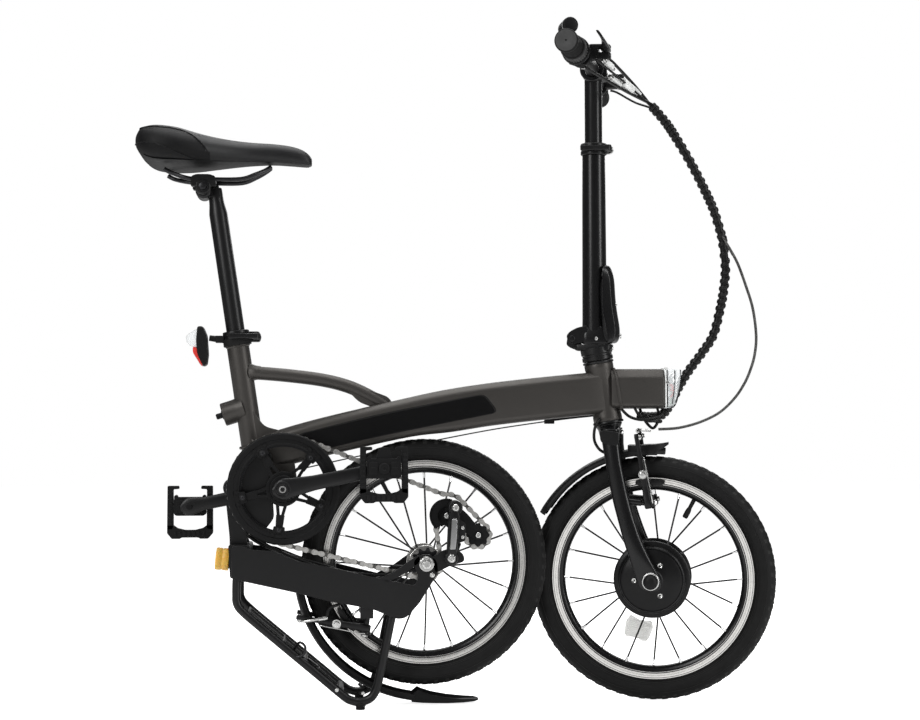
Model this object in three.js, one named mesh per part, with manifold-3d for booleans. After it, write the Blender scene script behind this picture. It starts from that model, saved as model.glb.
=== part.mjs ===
// Folding electric bicycle, stood half folded: the rear wheel is swung under the main beam.
// Millimetres. +X is the riding direction, +Y is the rider's left, +Z is up. The drive side is -Y.
import * as THREE from 'three';
import Module from 'manifold-3d';
import { mergeVertices } from 'three/addons/utils/BufferGeometryUtils.js';

const wasm = await Module();
wasm.setup();

// ---- driving dimensions -------------------------------------------------------------------
const GAP = 0.3; // between pieces that touch
const SLIVER = 0.02; // edges shorter than this are merged away
const TYRE_R = 192.5; // 16 inch wheel with a 40-305 tyre
const RIM_R = 159;
const RIM_INNER_R = 138.5;
const RIM_HALF = 11;
const TYRE_HALF = 19;
const SPOKES = 20;
const SPOKE_R = 1;
const WHEEL_SIDES = 24;
const SPOKE_END_R = RIM_INNER_R * Math.cos(Math.PI / WHEEL_SIDES) - GAP; // short of the rim's flats
const REAR_AXLE = [-48.6, 220.8]; // X and Z
const FRONT_AXLE = [313, 192.5];
const CRANK = [-267.7, 336.5];
const FOLD_PIVOT = [-345, 338.3];
const FOLD_ANGLE = 156.5; // from stood folded to riding, degrees
const STEER_POINT = [236.5, 485]; // a point on the steering axis, X and Z
const STEER_TILT = 9.2; // the steering axis leans back, degrees
const STEER_TURN = -14; // the wheel stands turned to the rider's right, degrees
const CRANK_LENGTH = 156;
const CRANK_TURN = 11.5; // right crank above the horizontal, degrees
const SEAT_TILT = 8.43;
const SEAT_TOP = [-340.7, 565]; // top of the seat tube, on its axis
const SEAT_TUBE_R = 17.5;
const SEATPOST_R = 14.3;
const BEAM_HALF = 27;
const HEAD_TUBE_R = 22.5;
const HEAD_HALF = 46;
const STEERER_R = 14;
const TURNING_GAP = 0.8; // round a shaft that turns in a many-sided bore
const POST_X = 223.5; // the upright handlepost
const POST_R = 18;
const UPPER_POST_R = 13.9;
const BAR_Z = 995;
const BAR_R = 11.1;
const BAR_HALF = 275;
const BAR_END = 269;
const BAR_SWEEP = 14;
const GRIP_R = 16.6;
const HUB_HALF = 59; // inner faces of the rear dropouts
const STAY_OUT = 65;
const FORK_HALF = 55;
const CHAINLINE = -44.5;
const CHAINRING_R = 79.2;
const GUARD_R = 86;
const COG_R = 21;
const PULLEY_R = 16;
const RACK_HALF = 57;
const RACK_R = 6.7;
const ROUND = 12; // sides of an ordinary round tube
const CENTRING = [-2.5, 14.3, 0]; // puts the origin under the middle of the whole

const RAD = Math.PI / 180;

// ---- colours and finishes -----------------------------------------------------------------
function finish(color, roughness, metalness) {
  return new THREE.MeshStandardMaterial({ color, roughness, metalness });
}

const GUNMETAL = [0x4a4643, 0.42, 0.6];
const BLACK_PAINT = [0x151516, 0.45, 0.3];
const BLACK_PLASTIC = [0x161617, 0.6, 0];
const RUBBER = [0x121212, 0.85, 0];
const SILVER = [0xc4c6c8, 0.3, 1];
const STEEL = [0x9a9c9e, 0.35, 1];

// ---- solids -------------------------------------------------------------------------------
function solid(geometry) {
  const bare = new THREE.BufferGeometry();
  bare.setAttribute('position', geometry.attributes.position.clone());
  if (geometry.index) bare.setIndex(geometry.index.clone());
  const merged = mergeVertices(bare, 1e-4);
  const corners = merged.index.array;
  const kept = [];
  for (let i = 0; i < corners.length; i += 3) {
    const [a, b, c] = [corners[i], corners[i + 1], corners[i + 2]];
    if (a !== b && b !== c && c !== a) kept.push(a, b, c);
  }
  const vertProperties = merged.attributes.position.array;
  const wrap = (order) => {
    const triVerts = new Uint32Array(order);
    return new wasm.Manifold(new wasm.Mesh({ numProp: 3, vertProperties, triVerts }));
  };
  const made = wrap(kept);
  return made.volume() < 0 ? wrap(kept.reverse()) : made;
}

function join(...parts) {
  return parts.map(asSolid).reduce((whole, part) => whole.add(part));
}

function cut(base, ...tools) {
  return tools.map(asSolid).reduce((whole, tool) => whole.subtract(tool), asSolid(base));
}

function asSolid(part) {
  return part.isBufferGeometry ? solid(part) : part;
}

function piece(name, body, look) {
  const raw = asSolid(body).simplify(SLIVER).getMesh();
  const geometry = new THREE.BufferGeometry();
  geometry.setAttribute('position', new THREE.BufferAttribute(new Float32Array(raw.vertProperties), 3));
  geometry.setIndex(new THREE.BufferAttribute(new Uint32Array(raw.triVerts), 1));
  geometry.computeVertexNormals();
  const mesh = new THREE.Mesh(geometry, finish(...look));
  mesh.name = name;
  return mesh;
}

function rod(from, to, r, sides = ROUND, rEnd = r) {
  const a = new THREE.Vector3(...from);
  const b = new THREE.Vector3(...to);
  const geometry = new THREE.CylinderGeometry(rEnd, r, a.distanceTo(b), sides);
  const along = b.clone().sub(a).normalize();
  const turn = new THREE.Quaternion().setFromUnitVectors(new THREE.Vector3(0, 1, 0), along);
  return geometry.applyQuaternion(turn).translate(...a.add(b).multiplyScalar(0.5).toArray());
}

function block(xs, ys, zs) {
  const geometry = new THREE.BoxGeometry(xs[1] - xs[0], ys[1] - ys[0], zs[1] - zs[0]);
  return geometry.translate((xs[0] + xs[1]) / 2, (ys[0] + ys[1]) / 2, (zs[0] + zs[1]) / 2);
}

// A flat outline in X and Z, with thickness in Y.
function plate(outline, yLow, yHigh) {
  const shape = new THREE.Shape(outline.map(([x, z]) => new THREE.Vector2(x, z)));
  const geometry = new THREE.ExtrudeGeometry(shape, { depth: yHigh - yLow, bevelEnabled: false });
  return geometry.rotateX(Math.PI / 2).translate(0, yHigh, 0);
}

// A closed profile of [radius, y] turned about a crosswise axis through centre.
function ring(profile, centre, segments = 28) {
  const points = profile.map(([r, y]) => new THREE.Vector2(r, y));
  const geometry = new THREE.LatheGeometry(points, segments);
  return geometry.translate(centre[0], 0, centre[1]);
}

// A cross-section of [radius, distance] turned about any axis from base along direction.
function turned(profile, base, direction, segments = ROUND) {
  const geometry = new THREE.LatheGeometry(profile.map(([r, d]) => new THREE.Vector2(r, d)), segments);
  const along = new THREE.Vector3(...direction).normalize();
  const turn = new THREE.Quaternion().setFromUnitVectors(new THREE.Vector3(0, 1, 0), along);
  return geometry.applyQuaternion(turn).translate(...base);
}

function sweep(points, r, sides = 8, steps = points.length * 4) {
  const curve = new THREE.CatmullRomCurve3(points.map((p) => new THREE.Vector3(...p)), false,
    'centripetal');
  const section = new THREE.Shape();
  for (let i = 0; i < sides; i++) {
    const a = ((i + 0.5) / sides) * 2 * Math.PI;
    section[i ? 'lineTo' : 'moveTo'](r * Math.cos(a), r * Math.sin(a));
  }
  return new THREE.ExtrudeGeometry(section, { steps, bevelEnabled: false, extrudePath: curve });
}

// Rings of an even number of matching points, skinned and capped at both ends.
function loft(rings) {
  const n = rings[0].length;
  const position = rings.flat(2);
  const index = [];
  for (let k = 0; k + 1 < rings.length; k++) {
    for (let i = 0; i < n; i++) {
      const j = (i + 1) % n;
      const [a, b, c, d] = [k * n + i, k * n + j, (k + 1) * n + j, (k + 1) * n + i];
      index.push(a, b, c, a, c, d);
    }
  }
  const last = (rings.length - 1) * n;
  for (let i = 0; i + 1 < n / 2; i++) {
    const [a, b, c, d] = [i, i + 1, n - 2 - i, n - 1 - i];
    index.push(c, b, a, d, c, a, last + a, last + b, last + c, last + a, last + c, last + d);
  }
  const geometry = new THREE.BufferGeometry();
  geometry.setAttribute('position', new THREE.Float32BufferAttribute(position, 3));
  geometry.setIndex(index);
  return solid(geometry);
}

function polar(centre, r, degrees) {
  return [centre[0] + r * Math.cos(degrees * RAD), centre[1] + r * Math.sin(degrees * RAD)];
}

function spokes(centre, hubR, hubHalf) {
  return Array.from({ length: SPOKES }, (_, i) => {
    const angle = (i * 360) / SPOKES;
    const side = i % 2 ? 1 : -1;
    const from = polar(centre, hubR, angle);
    const to = polar(centre, SPOKE_END_R, angle);
    return rod([from[0], side * hubHalf, from[1]], [to[0], side * 3, to[1]], SPOKE_R, 3);
  });
}

function tyre(centre) {
  const h = TYRE_HALF;
  const half = [[RIM_R + GAP, 10.5], [166, 17.5], [175, h], [185, 14], [TYRE_R, 4]];
  const mirrored = half.slice().reverse().map(([r, y]) => [r, -y]);
  return ring([...half, ...mirrored, half[0]], centre, WHEEL_SIDES);
}

function rim(centre) {
  const half = [[RIM_INNER_R, 4], [RIM_INNER_R + 6, RIM_HALF - 1], [RIM_R, RIM_HALF]];
  const mirrored = half.slice().reverse().map(([r, y]) => [r, -y]);
  return ring([...half, ...mirrored, half[0]], centre, WHEEL_SIDES);
}

// ---- the two tilted axes ------------------------------------------------------------------
const STEER_AXIS = [-Math.sin(STEER_TILT * RAD), 0, Math.cos(STEER_TILT * RAD)];
const SEAT_AXIS = [-Math.sin(SEAT_TILT * RAD), 0, Math.cos(SEAT_TILT * RAD)];
const onAxis = (point, axis, d) => [point[0] + axis[0] * d, 0, point[1] + axis[2] * d];
const onSteer = (d) => onAxis(STEER_POINT, STEER_AXIS, d);
const onSeat = (d) => onAxis(SEAT_TOP, SEAT_AXIS, d);

// The boss on the seat tube that the rubber block meets when the bike is open.
const BOSS_FACE = [-362.5, 450.8];
const BOSS_OUT = [-0.953, 0, -0.303];
const BOSS_R = 18;
const STUD_R = 4.5;
const STUD_LENGTH = 11;
const outOfBoss = (d) => [BOSS_FACE[0] + BOSS_OUT[0] * d, 0, BOSS_FACE[1] + BOSS_OUT[2] * d];

// ---- main frame ---------------------------------------------------------------------------
// Top and bottom edge of the beam in X and Z, and half its width, from the seat tube to the head tube.
const BEAM = [
  [[-318, 414], [-288, 366], 20],
  [[-250.6, 434.8], [-232, 379], BEAM_HALF],
  [[-185, 451.8], [-168, 394.5], BEAM_HALF],
  [[-85.4, 474.5], [-70, 415.5], BEAM_HALF],
  [[-19.9, 488.5], [-6, 422.8], BEAM_HALF],
  [[48.2, 499], [58, 432.5], BEAM_HALF],
  [[127.7, 508], [134, 441], BEAM_HALF],
  [[206, 515.5], [212, 448.5], BEAM_HALF - 2],
  [[236, 518], [242, 451], 21],
];

// An eight-sided section with a wide bevel along its top, shrunk by inset.
function beamRing([top, bottom, half], inset) {
  const height = Math.hypot(top[0] - bottom[0], top[1] - bottom[1]);
  const h = half - inset;
  const low = inset / height;
  const corners = [[low, 0.72 * h], [0.1, h], [0.86, h], [1 - low, 0.62 * h]];
  const loop = [...corners, ...corners.slice().reverse().map(([t, y]) => [t, -y])];
  return loop.map(([t, y]) => [bottom[0] + (top[0] - bottom[0]) * t, y,
    bottom[1] + (top[1] - bottom[1]) * t]);
}

function beam(inset, first, last) {
  return loft(BEAM.slice(first, last).map((station) => beamRing(station, inset)));
}

const PANEL = [
  [-250.6, 419.2], [-117.6, 452.4], [44.9, 482.3], [67.6, 453.3], [-117.7, 417.1], [-211.6, 395.6],
];
const PANEL_THICK = 1.8;

// The outline drawn in towards its own middle.
function shrunk(outline, margin) {
  const mid = outline.reduce((sum, [x, z]) => [sum[0] + x / outline.length, sum[1] + z / outline.length],
    [0, 0]);
  return outline.map(([x, z]) => {
    const d = Math.hypot(x - mid[0], z - mid[1]);
    return [x - (margin * (x - mid[0])) / d, z - (margin * (z - mid[1])) / d];
  });
}

function crosswise(centre, r, half, sides = ROUND) {
  return rod([centre[0], -half, centre[1]], [centre[0], half, centre[1]], r, sides);
}

const FRONT_BOX_X = [250, 331];
const SHELL_HALF = 34;
const BARREL_HALF = 28;
const BEARING_R = 16;
const PIN_R = 8;

function frontBox() {
  const section = [[23, 459], [27, 463], [27, 507], [17, 521.5], [-17, 521.5], [-27, 507], [-27, 463],
    [-23, 459]];
  return loft(FRONT_BOX_X.map((x) => section.map(([y, z]) => [x, y, z])));
}

const TOP_TUBE_R = 10.5;
const TOP_TUBE = [
  [-334, 0, 517], [-311, 0, 516.3], [-263, 0, 512.3], [-208.5, 0, 505.2], [-167.8, 0, 494.9],
  [-133.3, 0, 479.2], [-105, 0, 462],
];

function mainFrame() {
  const seatTube = rod(onSeat(-178), onSeat(0), SEAT_TUBE_R, 16);
  const gusset = plate([[-350, 324], [-268, 317], [-247, 345], [-255, 400], [-320, 404], [-352, 352]],
    -22, 22);
  const boss = rod(outOfBoss(0), outOfBoss(-34), BOSS_R);
  const stud = rod(outOfBoss(STUD_LENGTH), outOfBoss(-2), STUD_R, 10);
  const topTube = sweep(TOP_TUBE, TOP_TUBE_R, 8, 9);
  const headTube = rod(onSteer(-HEAD_HALF), onSteer(HEAD_HALF), HEAD_TUBE_R, 16);
  const whole = join(seatTube, gusset, boss, stud, topTube, headTube, beam(0, 0, 9), frontBox(),
    crosswise(CRANK, 21, SHELL_HALF), crosswise(FOLD_PIVOT, 15, BARREL_HALF));
  return cut(whole,
    beam(3, 1, 7),
    plate(shrunk(PANEL, 6), -BEAM_HALF - 1, -BEAM_HALF + 4),
    plate(PANEL, -BEAM_HALF - 1, -BEAM_HALF + PANEL_THICK),
    block([268, 340], [-22, 22], [466, 506]),
    rod(onSeat(-158), onSeat(5), SEATPOST_R + GAP, 16),
    rod(onSteer(-HEAD_HALF - 5), onSteer(HEAD_HALF + 5), STEERER_R + 3 + GAP, 12),
    crosswise(CRANK, BEARING_R + GAP, SHELL_HALF + 5),
    crosswise(FOLD_PIVOT, PIN_R + GAP, BARREL_HALF + 5));
}

function headset() {
  const sleeve = [
    [STEERER_R + TURNING_GAP, -HEAD_HALF - 4], [HEAD_TUBE_R + 0.8, -HEAD_HALF - 4],
    [HEAD_TUBE_R + 0.8, -HEAD_HALF - GAP], [STEERER_R + 3, -HEAD_HALF - GAP],
    [STEERER_R + 3, HEAD_HALF + GAP], [HEAD_TUBE_R + 0.8, HEAD_HALF + GAP],
    [HEAD_TUBE_R + 0.8, HEAD_HALF + 4], [STEERER_R + TURNING_GAP, HEAD_HALF + 4],
  ];
  return turned([...sleeve, sleeve[0]], onSteer(0), STEER_AXIS, 12);
}

function bottomBracket() {
  const [inner, outer, lip] = [9, BEARING_R, 19];
  const seat = SHELL_HALF + GAP;
  const profile = [[inner, -38], [lip, -38], [lip, -seat], [outer, -seat], [outer, seat], [lip, seat],
    [lip, 38], [inner, 38]];
  return ring([...profile, profile[0]], CRANK, 12);
}

function pivotPin() {
  return join(crosswise(FOLD_PIVOT, PIN_R, 38), rod([FOLD_PIVOT[0], 38, FOLD_PIVOT[1]],
    [FOLD_PIVOT[0], 42, FOLD_PIVOT[1]], 12));
}

function headlightHousing() {
  const back = block([331 + GAP, 338], [-26, 26], [459, 521]);
  const reflector = turned([[0, 0], [14, 0], [17, 9], [0, 9]], [338, 0, 497], [1, 0, 0], 16);
  return join(back, reflector);
}

function headlightLens() {
  const outline = [[338 + GAP, 459], [348, 459], [354, 470], [357, 521], [338 + GAP, 523]];
  return cut(plate(outline, -26, 26), rod([330, 0, 497], [347.5, 0, 497], 17.5 + GAP, 16));
}

function seatClamp() {
  const collar = rod(onSeat(GAP), onSeat(17), 20.5, 16);
  const ears = block([-322, -306], [-9, 9], [565, 580]);
  return cut(join(collar, ears), rod(onSeat(-1), onSeat(20), SEATPOST_R + GAP, 16),
    block([-325, -300], [-1, 1], [560, 590]));
}

const SEAT_LEVER = [-311, 573];
const POST_LEVER = [247, 871];
const LEVER_HUB_Y = -16;

// A quick-release lever that lies along the side of its collar and swings out about an upright pin.
function clampLever([x, z]) {
  const hub = rod([x, LEVER_HUB_Y, z - 5], [x, LEVER_HUB_Y, z + 5], 6.2, 10);
  const arm = block([x - 42, x + 2], [-27, -21.3], [z - 4, z + 4]);
  return join(hub, arm);
}

function tailLightHousing() {
  const stem = block([-388, -364.2], [-5, 5], [567, 576]);
  const shell = plate([[-407, 585], [-392, 583], [-384, 565], [-384, 541], [-391, 527], [-402, 536]], -17,
    17);
  return join(stem, shell);
}

// ---- seat ---------------------------------------------------------------------------------
function seatpost() {
  const shaft = [[0, -95], [SEATPOST_R, -95], [SEATPOST_R, 205], [11.5, 222], [11.5, 243], [0, 243]];
  const clamp = rod([-393, -20, 800], [-393, 20, 800], 12, 14);
  const head = block([-412, -372], [-27, 27], [806, 813.5]);
  const bridge = plate([[-402, 792], [-366, 792], [-372, 812], [-404, 812]], -11, 11);
  return join(turned(shaft, onSeat(0), SEAT_AXIS, 16), clamp, head, bridge);
}

function saddleRails() {
  const side = (y) => sweep([[-452, y * 1.7, 829.5], [-440, y * 1.6, 825], [-414, y, 818.5],
    [-380, y, 817.3], [-335, y, 818], [-312, y * 0.8, 826],
    [-296, y * 0.45, 834]], 3.4, 6, 10);
  return join(side(22), side(-22), block([-300, -291], [-12, 12], [830, 837]),
    block([-457, -447], [-44, 44], [826, 832]));
}

// Stations of the padded top: X, half width, top Z, underside Z.
const SADDLE = [
  [-495, 44, 884, 868], [-484, 70, 897, 852], [-462, 84, 902, 839], [-430, 86, 898, 838],
  [-395, 72, 888, 840], [-360, 50, 882, 840], [-320, 31, 878, 844], [-280, 24, 876.5, 846],
  [-245, 20, 870, 842], [-228, 13, 860, 841], [-223, 6, 852, 844],
];

function saddle() {
  return loft(SADDLE.map(([x, half, top, low]) => {
    const mid = (top + low) / 2;
    const height = (top - low) / 2;
    return Array.from({ length: 12 }, (_, i) => {
      const a = (i / 12) * 2 * Math.PI;
      const c = Math.cos(a);
      const s = Math.sin(a);
      return [x, half * Math.sign(c) * Math.abs(c) ** 0.8,
        mid + height * Math.sign(s) * Math.abs(s) ** 0.7];
    });
  }));
}

// ---- steering and front wheel -------------------------------------------------------------
// A fork blade's centre line: X, Y and Z, down the left side.
const BLADE = [
  [249, 38, 428], [251, 41, 408], [257, 45, 368], [268, 49, 315], [283, 55, 263], [297, 60, 226],
];

function forkBlade(side) {
  return loft(BLADE.map(([x, y, z]) => Array.from({ length: 10 }, (_, i) => {
    const a = (i / 10) * 2 * Math.PI;
    return [x + 13 * Math.cos(a), side * (y + 8 * Math.sin(a)), z];
  })));
}

function dropout(side) {
  const outline = [[286, 240], [306, 240], [323, 200], [325, 189], [316, 180], [304, 183], [298, 200]];
  return plate(outline, ...(side > 0 ? [FORK_HALF, FORK_HALF + 6] : [-FORK_HALF - 6, -FORK_HALF]));
}

function fork() {
  const [low, high] = [onSteer(-HEAD_HALF - 6), onSteer(HEAD_HALF + 12)];
  const steerer = rod(low, high, STEERER_R);
  const crown = rod(onSteer(-HEAD_HALF - 22), onSteer(-HEAD_HALF - 4.5), 21);
  const shoulder = loft([-50, 50].map((y) => [[238, y, 414], [263, y, 409], [262, y, 430], [236, y, 433]]));
  const bosses = [-1, 1].map((side) => rod([272, side * 42, 316], [315, side * 42, 312], 4.2, 10));
  const whole = join(steerer, crown, shoulder, forkBlade(1), forkBlade(-1), dropout(1), dropout(-1),
    ...bosses);
  return cut(whole, crosswise(FRONT_AXLE, 6 + GAP, 80, 14));
}

function frontAxle() {
  return join(crosswise(FRONT_AXLE, 6, 74, 14),
    ...[-1, 1].map((side) => rod([FRONT_AXLE[0], side * 61.4, FRONT_AXLE[1]],
      [FRONT_AXLE[0], side * 71, FRONT_AXLE[1]], 10, 12)));
}

function hubMotor() {
  const profile = [[6.5, -50], [16, -50], [20, -44], [52, -38], [60, -28], [60, 28], [52, 38], [20, 44],
    [16, 50], [6.5, 50]];
  return join(ring([...profile, profile[0]], FRONT_AXLE, 20), ...spokes(FRONT_AXLE, 58, 20));
}

// A channel bent round a wheel: skirt, crown, skirt. Angles in degrees, radius may grow along it.
function mudguard(centre, from, to, radius, growth, half, steps) {
  const section = [
    [-11, half], [0, half - 3], [0, 3 - half], [-11, -half],
    [-11, 1.8 - half], [-1.8, 5 - half], [-1.8, half - 5], [-11, half - 1.8],
  ];
  return loft(Array.from({ length: steps + 1 }, (_, k) => {
    const angle = from + ((to - from) * k) / steps;
    return section.map(([dr, y]) => {
      const [x, z] = polar(centre, radius + (growth * k) / steps + dr, angle);
      return [x, y, z];
    });
  }));
}

function frontFender() {
  const bracket = block([263.8, 268], [-8, 8], [391, 418]);
  return join(mudguard(FRONT_AXLE, 84, 150, 206, 0, 24, 10), bracket);
}

const ARM_X = [296, 307];

function frontBrakeArm(side) {
  const outline = [[-7, 305], [7, 305], [6, 350], [5, 424], [-5, 424], [-6, 350]];
  const arm = loft(ARM_X.map((x) => outline.map(([y, z]) => [x, side * (42 + y), z])));
  const stud = rod([302, side * 20, 343], [302, side * 50, 343], 3, 8);
  const pad = block([288, 332], side > 0 ? [13.4, 22] : [-22, -13.4], [338.5, 348]);
  const bore = rod([285, side * 42, 314.8], [320, side * 42, 311.5], 4.2 + GAP, 10);
  return join(cut(arm, bore), stud, pad);
}

const HINGE = [186, 566];

function postBase() {
  const [low, seat, top] = [HEAD_HALF + 4.5, HEAD_HALF + 12.5, HEAD_HALF + 26];
  const bore = STEERER_R + GAP;
  const foot = turned([[bore, low], [24, low], [25, top], [bore, top], [bore, low]], onSteer(0),
    STEER_AXIS);
  const plug = turned([[0, seat], [STEERER_R + 2, seat], [STEERER_R + 2, top], [0, top]], onSteer(0),
    STEER_AXIS);
  const deck = plate([[192, 551], [251, 551], [251, 561], [194, 561]], -22, 22);
  const ear = plate([[180, 561], [186, 557], [198, 552], [203, 560.5], [196, 567], [190, 573],
    [182, 572]], -10, 10);
  const pin = crosswise(HINGE, 3.5, 22, 12);
  return join(foot, plug, deck, ear, pin);
}

// ---- handlepost ---------------------------------------------------------------------------
function handlepost() {
  const sole = plate([[204, 561.5], [250, 561.5], [249, 578], [242, 598], [204, 598], [200, 585]], -21, 21);
  const knuckles = [-1, 1].map((side) => {
    const outline = [[180, 562], [188, 559.5], [199, 564], [204, 575], [204, 585], [190, 579], [181, 573]];
    return plate(outline, ...(side > 0 ? [10.5, 20] : [-20, -10.5]));
  });
  const shaft = rod([POST_X, 0, 590], [POST_X, 0, 866], POST_R + 1.2, 16, POST_R);
  const collar = rod([POST_X, 0, 862], [POST_X, 0, 880], 20.5, 16);
  const ears = block([POST_X + 14, POST_X + 22], [-9, 9], [864, 878]);
  const latchEars = block([249, 254], [-8, 8], [566, 580]);
  return cut(join(sole, ...knuckles, shaft, collar, ears, latchEars),
    rod([POST_X, 0, 610], [POST_X, 0, 890], UPPER_POST_R + GAP, 16),
    crosswise(HINGE, 3.5 + GAP, 30, 12));
}

function latchLever() {
  const outline = [[255, 562], [262, 568], [262, 590], [256, 622], [254.5, 662], [243, 686], [244, 655],
    [250, 610], [254.8, 585], [254.8, 566]];
  return plate(outline, -9, 9);
}

function upperPost() {
  const tube = rod([POST_X, 0, 740], [POST_X, 0, 1006], UPPER_POST_R, 16);
  const clamp = rod([POST_X, -24, BAR_Z], [POST_X, 24, BAR_Z], 19, 12);
  return cut(join(tube, clamp), rod([POST_X, -30, BAR_Z], [POST_X, 30, BAR_Z], BAR_R + 0.6, 12));
}

const barX = (y) => POST_X - BAR_SWEEP * Math.max(0, (Math.abs(y) - 60) / (BAR_HALF - 60));

function handlebar() {
  const stations = [-BAR_END, -60, 60, BAR_END];
  return loft(stations.map((y) => Array.from({ length: 12 }, (_, i) => {
    const a = (i / 12) * 2 * Math.PI;
    return [barX(y) + BAR_R * Math.cos(a), y, BAR_Z + BAR_R * Math.sin(a)];
  })));
}

// Sleeves on the bar between two distances from the middle.
function sleeve(y0, y1, r0, r1, closed) {
  const a = [barX(y0), y0, BAR_Z];
  const b = [barX(y1), y1, BAR_Z];
  const inner = closed ? [barX(y1 * 0.985), y1 * 0.985, BAR_Z] : [barX(y1 * 1.02), y1 * 1.02, BAR_Z];
  const start = [barX(y0 * 0.97), y0 * 0.97, BAR_Z];
  return cut(rod(a, b, r0, 14, r1), rod(start, inner, BAR_R + 0.6, 12));
}

function brakeBracket(side) {
  const y = side * 142;
  const clamp = sleeve(y - side * 8, y + side * 8, 17, 17, false);
  const x = barX(y);
  const arm = block([x + 16, x + 42], side > 0 ? [128, 146] : [-146, -128], [BAR_Z - 4, BAR_Z + 16]);
  const slot = block([x + 27, x + 45], side > 0 ? [133, 160] : [-160, -133], [BAR_Z + 4.5, BAR_Z + 11.5]);
  return cut(join(clamp, arm), slot);
}

function brakeLever(side) {
  const x = barX(142);
  const outline = [[x + 31, 135], [x + 39, 135], [x + 42, 150], [x + 47, 200], [x + 50, 238],
    [x + 43, 240], [x + 39, 200], [x + 33, 150]];
  const rings = [BAR_Z + 5, BAR_Z + 11].map((z) => outline.map(([px, y]) => [px, side * y, z]));
  return loft(rings);
}

function bell() {
  const y = -182;
  const strap = sleeve(y + 5, y - 5, 14, 14, false);
  const stem = rod([barX(y), y, BAR_Z + 12.5], [barX(y), y - 2, BAR_Z + 28], 4.5, 8);
  const dome = rod([barX(y), y - 8, BAR_Z + 26], [barX(y) - 3, y - 10, BAR_Z + 42], 14, 12);
  return join(strap, stem, dome);
}

// ---- cables -------------------------------------------------------------------------------
const BUNDLE = [
  [318, -8, 941], [340, -8, 915], [357, -8, 889], [381, -6, 849], [402, -3, 809], [418, 1, 775],
  [432, 6, 732], [438, 12, 687], [436, 18, 650], [431, 24, 618], [421, 30, 578], [403, 35, 549],
  [383, 38, 522], [366, 39, 495], [352, 39, 468], [338, 38, 450], [318, 36, 446.5], [300, 34, 448],
];
const BRAKE_CABLE = [
  [440, -6, 716], [453, -8, 691], [465.5, -10, 655], [476, -12, 618], [480.5, -14, 575],
  [477, -16, 543], [468.5, -18, 517], [458, -20, 496], [442, -22, 474], [417, -26, 452],
  [385, -30, 437], [350, -33, 428], [318, -36, 426],
];

// ---- crank set ----------------------------------------------------------------------------
const crankTip = (side) => polar(CRANK, CRANK_LENGTH, side < 0 ? CRANK_TURN : CRANK_TURN + 180);

function crankArm(side) {
  const tip = crankTip(side);
  const across = [-Math.sin(CRANK_TURN * RAD), Math.cos(CRANK_TURN * RAD)];
  const edge = ([x, z], h) => [x + across[0] * h, z + across[1] * h];
  const outline = [edge(CRANK, -12), edge(tip, -10), edge(tip, 10), edge(CRANK, 12)];
  const order = side < 0 ? outline : outline.slice().reverse();
  const [yLow, yHigh] = side < 0 ? [-90, -78] : [78, 90];
  const disc = (centre, r) => rod([centre[0], yLow, centre[1]], [centre[0], yHigh, centre[1]], r, 16);
  const bore = rod([tip[0], yLow - 1, tip[1]], [tip[0], yHigh + 1, tip[1]], 4.5 + GAP, 12);
  const hub = rod([CRANK[0], side * 40, CRANK[1]], [CRANK[0], side * 80, CRANK[1]], 13, 16);
  const whole = cut(join(plate(order, yLow, yHigh), disc(CRANK, 16.7), disc(tip, 11),
    side > 0 ? hub : disc(CRANK, 16.7)), bore);
  return side < 0 ? join(whole, rod([CRANK[0], -92, CRANK[1]], [CRANK[0], 36, CRANK[1]], 8.6, 14),
    rod([CRANK[0], -79, CRANK[1]], [CRANK[0], -58, CRANK[1]], 15, 12)) : whole;
}

function chainring() {
  const [inner, lip] = [66.5, 71];
  const [face, back] = [-53.5, -50.5];
  const profile = [
    [inner, face], [GUARD_R, face], [GUARD_R, back], [lip, back], [lip, CHAINLINE - 1.5],
    [CHAINRING_R, CHAINLINE - 1.5], [CHAINRING_R, CHAINLINE + 1.5], [inner, CHAINLINE + 1.5],
  ];
  const rim = ring([...profile, profile[0]], CRANK, 32);
  const arms = Array.from({ length: 5 }, (_, i) => {
    const a = 18 + i * 72;
    const tip = polar(CRANK, 68, a);
    return rod([CRANK[0], -52, CRANK[1]], [tip[0], -49, tip[1]], 5, 5);
  });
  const hub = rod([CRANK[0], -57, CRANK[1]], [CRANK[0], -47, CRANK[1]], 20, 14);
  return cut(join(rim, ...arms, hub), crosswise(CRANK, 8.6 + GAP, 80));
}

function pedalBracket(side) {
  const [x, z] = crankTip(side);
  const spindle = rod([x, side * 77, z], [x, side * 118, z], 4.5, 12);
  const housing = block([x - 20, x + 20], side > 0 ? [93, 112] : [-112, -93], [z - 13, z + 13]);
  const ears = [-1, 1].map((end) => block([x + end * 14 - 6, x + end * 14 + 6],
    side > 0 ? [95, 111] : [-111, -95], [z + 12, z + 28]));
  return cut(join(spindle, housing, ...ears), rod([x - 40, side * 103, z + 22],
    [x + 40, side * 103, z + 22], 3 + GAP, 10));
}

function pedalCage(side) {
  const [x, z] = crankTip(side);
  const ys = side > 0 ? [96, 110] : [-110, -96];
  const uprights = [-1, 1].map((end) => block([x + end * 31 - 5, x + end * 31 + 5], ys, [z - 52, z + 33]));
  const foot = block([x - 36, x + 36], ys, [z - 52, z - 34]);
  const pin = rod([x - 30, side * 103, z + 22], [x + 30, side * 103, z + 22], 3, 10);
  return join(...uprights, foot, pin);
}

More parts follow.
